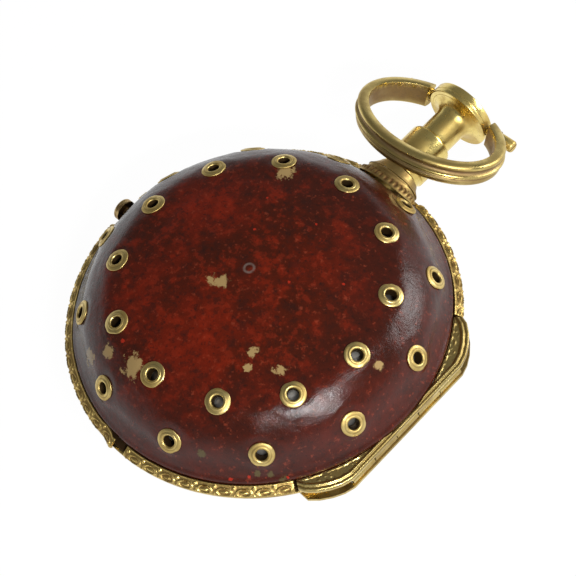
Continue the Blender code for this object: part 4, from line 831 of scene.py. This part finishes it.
def collar_place(u, v):
    """Oval ring of the collar, bent back by the case's own curve."""
    step, wide, tall, hug = station(COLLAR, v)
    a = 2 * pi * u
    lobes = abs(sin(LOBES / 2 * a)) ** 0.7 - 0.6
    swell = 0.50 * lobes * exp(-((step + 1.75) / 0.55) ** 2) + 0.18 * exp(-((step + 0.05) / 0.22) ** 2)
    collar_depths.append(max(0.25, min(0.9, 0.6 - lobes)) if -2.6 < step < -0.9 else 0.2)
    x = (COLLAR_WIDTH * wide + swell) * cos(a)
    w = (COLLAR_HEIGHT * tall + swell) * sin(a)
    bend = hug * (0.052 * max(w, 0.0) ** 2 + 0.0087 * x ** 2)
    return x, RIM_REACH + step - bend, PENDANT_HEIGHT + w


def capped(piece):
    """Close the open ends of a sheet that was wrapped round."""
    tidy_mesh(piece)
    fill_openings(piece)
    tidy_mesh(piece, 40)
    return piece


upper = wrapped("collar_back_cast", 240, 70, collar_place)
mark_dirt_and_shade(upper, collar_depths)
capped(upper)
lower = upper.copy()
lower.data = upper.data.copy()
lower.name = lower.data.name = "collar_front_cast"
bpy.context.scene.collection.objects.link(lower)
dome_tool = lathe("dome_tool", [skin_point(i / 24, -0.3) for i in range(25)] + [(57.6, -20), (0, -20)], 96)
cut(upper, dome_tool)
cut(upper, block_tool((-80, 0, -80), (80, 80, 0.2)))
cut(upper, block_tool((-80, 58.771, -80), (80, 80, 80)))
open_for_pendant(upper)
cut(lower, block_tool((-80, 0, -80), (80, 59.071, 80)))
cut(lower, block_tool((-80, 0, -80), (80, 60.3, 0.2)))
cut(lower, round_tool(PENDANT_HOLE, 45, 65, TOWARDS_PENDANT))
collar_gilt = aged_metal("collar_gilt", (0.56, 0.41, 0.15), (0.34, 0.23, 0.08), 0.30, 0.18, 160, RED_DIRT_AND_SHADE)
for one, body, node in ((upper, "back", "collar_back"), (lower, "front_case", "collar_front")):
    tidy_mesh(one, 40)
    seat(one)
    one.data.materials.append(collar_gilt)
    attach(one, body)
    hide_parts(node)

# Pendant: a brass sleeve screwed to the inner case, a plunger that slides in it against a spring,
# its disc head, and the pin that carries the bow
PIN_HOLE = 1.5
PIN_PLACE = Vector((0, 91.5, PENDANT_HEIGHT)) * MM
ALONG_PIN = Matrix.Rotation(radians(90), 4, "Y")
TAN_DIRT = (0.20, 0.10, 0.05)
pendant_brass = aged_metal("pendant_brass", (0.88, 0.70, 0.24), (0.62, 0.45, 0.14), 0.22, 0.2, 120,
                           TAN_DIRT)
sleeve_profile = [(2.9, 54.1), (4.4, 54.1), (4.4, 62.4), (6.3, 62.4), (6.5, 62.7), (6.55, 64.4),
                  (6.8, 64.75), (7.15, 64.95), (7.2, 65.3), (7.2, 76.6), (7.1, 77.1), (6.85, 77.45),
                  (6.5, 77.7), (5.85, 77.7), (5.85, 64.0), (2.9, 64.0)]
sleeve = lathe("pendant_sleeve_turned", sleeve_profile, 96, True, 0.08)
seat(sleeve, TOWARDS_PENDANT)
plunger_profile = [(0, 46.3), (2.4, 46.3), (2.4, 73.6), (5.55, 73.6), (5.55, 85.6), (5.62, 86.4),
                   (5.85, 87.2), (6.3, 87.95), (7.0, 88.6), (7.9, 89.05), (8.8, 89.3), (0, 89.3)]
plunger = lathe("plunger_turned", plunger_profile, 96, False, 0.06)
seat(plunger, TOWARDS_PENDANT)
head_profile = [(0, 89.3), (9.4, 89.3), (9.55, 89.42), (10.7, 89.42), (10.95, 89.65), (11.0, 90.0),
                (11.0, 90.7), (10.86, 90.85), (10.86, 91.05), (11.0, 91.2), (11.0, 93.1), (10.85, 93.45),
                (10.5, 93.62), (9.9, 93.7), (0, 93.7)]
head = lathe("disc_head_turned", head_profile, 128, False, 0.05)
seat(head, TOWARDS_PENDANT)
cut(head, round_tool(PIN_HOLE, -30, 30, Matrix.Translation(CASE + PIN_PLACE) @ ALONG_PIN))
tidy_mesh(head)
pin_profile = [(0, -21.2), (0.9, -21.2), (1.2, -20.95), (1.2, 13.8), (1.65, 13.8), (1.65, 15.7),
               (1.95, 15.8), (1.95, 20.8), (1.7, 21.2), (0, 21.2)]
pin = lathe("bow_pin_turned", pin_profile, 40)
cut(pin, block_tool((-0.25, -3, 20.4), (0.25, 3, 22)))
tidy_mesh(pin)
seat(pin, Matrix.Translation(PIN_PLACE) @ ALONG_PIN)
for one, body, node in ((sleeve, "front_case", "pendant_sleeve"), (plunger, "pendant", "plunger"),
                        (head, "pendant", "disc_head"), (pin, "pendant", "bow_pin")):
    one.data.materials.append(pendant_brass)
    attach(one, body)
    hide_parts(node)
refinish("plunger_spring", steel)

# Bow: a bar cast and filed with a bead and a reed along its outside, bent to an oval and sprung
# onto the ends of the pin. It is flat and browned inside. Its section is (outwards, across) in mm
BOW_WIDE, BOW_LONG, BOW_MIDDLE = 24.0, 17.75, 15.499
BOW_START = asin(11.4 / BOW_WIDE)
STRAP = [(-1.9, -3.3), (-1.9, -1.6), (-1.9, 0.0), (-1.9, 1.6), (-1.9, 3.3), (-1.75, 3.65), (-1.4, 3.8),
         (-0.3, 3.8), (0.3, 3.7), (0.75, 3.4), (1.1, 2.9), (1.25, 2.3), (1.2, 1.75), (1.0, 1.42),
         (0.95, 1.26), (1.25, 1.1), (1.4, 0.9), (1.3, 0.68), (1.12, 0.6), (1.5, 0.42), (1.85, 0.15),
         (1.9, -0.1), (1.75, -0.4), (1.35, -0.62), (1.0, -0.9), (0.85, -1.3), (0.92, -1.75), (1.2, -2.12),
         (1.35, -2.25), (1.55, -2.45), (1.6, -2.75), (1.45, -3.2), (1.05, -3.6), (0.5, -3.8),
         (-1.4, -3.8), (-1.75, -3.65), (-1.9, -3.3)]
BROWNED = {0: 0.6, 1: 0.75, 2: 0.75, 3: 0.75, 4: 0.5, 10: 0.25, 11: 0.35, 12: 0.4, 13: 0.9, 14: 0.9,
           17: 0.5, 18: 0.9, 23: 0.5, 24: 0.75, 25: 0.8, 26: 0.75, 27: 0.5, 28: 0.7}
BOW_TILT = 155
bow_depths = []


def bow_place(u, v):
    """Section of the bar at one place round the bow."""
    t = BOW_START + (2 * pi - 2 * BOW_START) * u
    row = round(v * (len(STRAP) - 1))
    out_by, across = STRAP[row]
    out = Vector((BOW_LONG * sin(t), -BOW_WIDE * cos(t))).normalized()
    x = BOW_WIDE * sin(t) + out.x * out_by
    y = BOW_MIDDLE - BOW_LONG * cos(t) + out.y * out_by
    bow_depths.append(BROWNED.get(row, 0.0))
    return x, y, across


bow = wrapped("bow_reeded", 180, len(STRAP) - 1, bow_place)
mark_dirt_and_shade(bow, bow_depths)
capped(bow)
cut(bow, block_tool((-12.2, -6, -8), (12.2, 8, 8)))
ears = []
for middle_of_ear, radius, length in ((-13.2, 2.2, 3.0), (13.7, 2.25, 3.2)):
    pick()
    bpy.ops.mesh.primitive_cylinder_add(vertices=40, radius=radius * MM, depth=length * MM,
                                        location=(middle_of_ear * MM, 0, 0), rotation=(0, radians(90), 0))
    ears.append(bpy.context.object)
for ear in ears:
    cut(bow, ear, "UNION")
for radius, low, high in ((PIN_HOLE, -40, 40), (1.95, 13.5, 40)):
    cut(bow, round_tool(radius, low, high, ALONG_PIN))
tidy_mesh(bow, 32)
seat(bow, Matrix.Translation(PIN_PLACE) @ Matrix.Rotation(radians(BOW_TILT), 4, "X"))
ROSY_DIRT = (0.20, 0.12, 0.07)
bow_gilt = aged_metal("bow_gilt", (0.68, 0.53, 0.19), (0.45, 0.33, 0.11), 0.22, 0.2, 120, ROSY_DIRT)
bow.data.materials.append(bow_gilt)
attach(bow, "bow")
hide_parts("bow")

# Inner case: a silver bowl pierced over the bell to let the sound out, with its bezel and bull's-eye
# glass. It shows through the eyelets, and whole once the back is open
# The silver is dark all over: partly tarnish, partly painted shade for the dim silver seen down the eyelets
TARNISH = (0.07, 0.06, 0.05)
silver = aged_metal("case_silver_tarnish_and_shade", (0.46, 0.45, 0.42), (0.24, 0.23, 0.21), 0.36, 0.2, 80, TARNISH)
bowl_profile = [skin_point(i / 36, 3.4) for i in range(37)] + [(53.9, -3.0), (52.9, -3.0)]
bowl_profile += [skin_point(1 - i / 24, 4.4) for i in range(25)]
bowl = lathe("inner_case_bowl_raised", bowl_profile, 112)
piercings = []
for k in range(12):
    a = radians(60 + 30 * k)
    lean = Vector((cos(a) * 0.75, sin(a) * 0.75, 0.66)).to_track_quat("Z", "Y").to_matrix().to_4x4()
    spot = Matrix.Translation(Vector((46.5 * cos(a), 46.5 * sin(a), 13.2)) * MM)
    piercings.append(round_tool(2.0, -5, 5, spot @ lean, 24))
cut(bowl, joined(piercings, "piercing_tool"))
cut(bowl, round_tool(2.9, 48, 56, TOWARDS_PENDANT))
tidy_mesh(bowl)
seat(bowl)
inner_bezel_profile = [(53.9, -3.3), (53.9, -4.4), (53.6, -4.7), (53.6, -5.2), (53.9, -5.5),
                       (53.75, -6.6), (53.1, -8.2), (51.9, -9.8), (50.2, -11.4), (48.6, -12.5),
                       (47.9, -12.9), (46.4, -12.9), (46.6, -12.0), (48.3, -11.6), (52.3, -3.3)]
inner_bezel = lathe("inner_bezel_turned", inner_bezel_profile, 128, True, 0.06)
seat(inner_bezel)
for one, node in ((bowl, "inner_case_bowl"), (inner_bezel, "inner_bezel")):
    one.data.materials.append(silver)
    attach(one, "front_case")
    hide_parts(node)

crystal, tree, shader = new_finish("crown_glass")
where = add(tree, "TexCoord").outputs["Object"]
shader.inputs["Base Color"].default_value = (0.93, 0.96, 0.95, 1.0)
shader.inputs["Transmission Weight"].default_value = 1.0
shader.inputs["IOR"].default_value = 1.5
haze = ranged(tree, clouds(tree, where, 500, 5, 0.7), 0.5, 0.8, 0.02, 0.12)
tree.links.new(haze, shader.inputs["Roughness"])
roughened(tree, shader, clouds(tree, where, 60, 2), 0.1, 0.2)
glass_line = [(0.0, 16.6), (0.16, 16.5), (0.3, 16.23), (0.45, 15.7), (0.6, 14.94), (0.74, 14.1),
              (0.83, 13.28), (0.9, 12.5), (0.965, 11.5)]
GLASS_RADIUS = 47.7
GLASS_THICKNESS = 1.4
glass_front = []
for i in range(25):
    r, depth = station(glass_line, i / 24)
    glass_front.append((GLASS_RADIUS * r, -depth))
glass_back = [(r * 0.985, z + GLASS_THICKNESS) for r, z in glass_front]
glass = lathe("bullseye_glass", glass_front + [(GLASS_RADIUS, -11.2)] + glass_back[::-1], 112)
seat(glass)
glass.data.materials.append(crystal)
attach(glass, "front_case")
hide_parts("glass")

# Bell and movement: cast bell-metal bowl over gilt plates, pillars, wheels and pinions, with blued
# screws and hairspring. They keep the frame's own shapes
bell_metal = aged_metal("bell_metal", (0.62, 0.47, 0.27), (0.42, 0.30, 0.16), 0.22, 0.15, 90)
plate_gilt = aged_metal("movement_gilt", (0.80, 0.60, 0.24), (0.66, 0.48, 0.18), 0.2, 0.14, 150)
PURPLED = (0.02, 0.015, 0.03)
blued = aged_metal("blued_steel", (0.035, 0.06, 0.20), (0.03, 0.035, 0.10), 0.2, 0.12, 300, PURPLED)
refinish("bell", bell_metal)
for name in ("pillar_plate", "top_plate", "balance_cock", "mainspring_barrel", "centre_wheel",
             "third_wheel", "contrate_wheel", "crown_wheel", "fusee_great_wheel", "minute_wheel",
             "hour_wheel", "repeat_wheel", "balance_wheel"):
    refinish(name, plate_gilt)
for name in ("bell_nut", "fusee_chain", "repeat_rack", "bell_hammer", "cannon_pinion"):
    refinish(name, steel)
for name in ("plate_screw_1", "plate_screw_2", "plate_screw_3", "plate_screw_4", "hairspring", "hour_hand",
             "minute_hand"):
    refinish(name, blued)
refinish("regulator_disc", silver)

# Dial: white enamel fired on a copper disc, with twelve raised hour marks and no figures. It keeps the
# frame's own shape and gets the enamel's finish
enamel, tree, shader = new_finish("white_enamel")
where = add(tree, "TexCoord").outputs["Object"]
age = ranged(tree, clouds(tree, where, 40, 5, 0.6), 0.35, 0.7)
face = mixed(tree, age, (0.80, 0.79, 0.74), (0.72, 0.70, 0.62))
face = mixed(tree, ranged(tree, clouds(tree, where, 900, 4), 0.66, 0.8, 0.0, 0.3), face, (0.40, 0.36, 0.28))
tree.links.new(face, shader.inputs["Base Color"])
tree.links.new(ranged(tree, age, 0.0, 1.0, 0.12, 0.25), shader.inputs["Roughness"])
roughened(tree, shader, clouds(tree, where, 120, 3), 0.15, 0.1)
refinish("dial", enamel)

low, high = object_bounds()
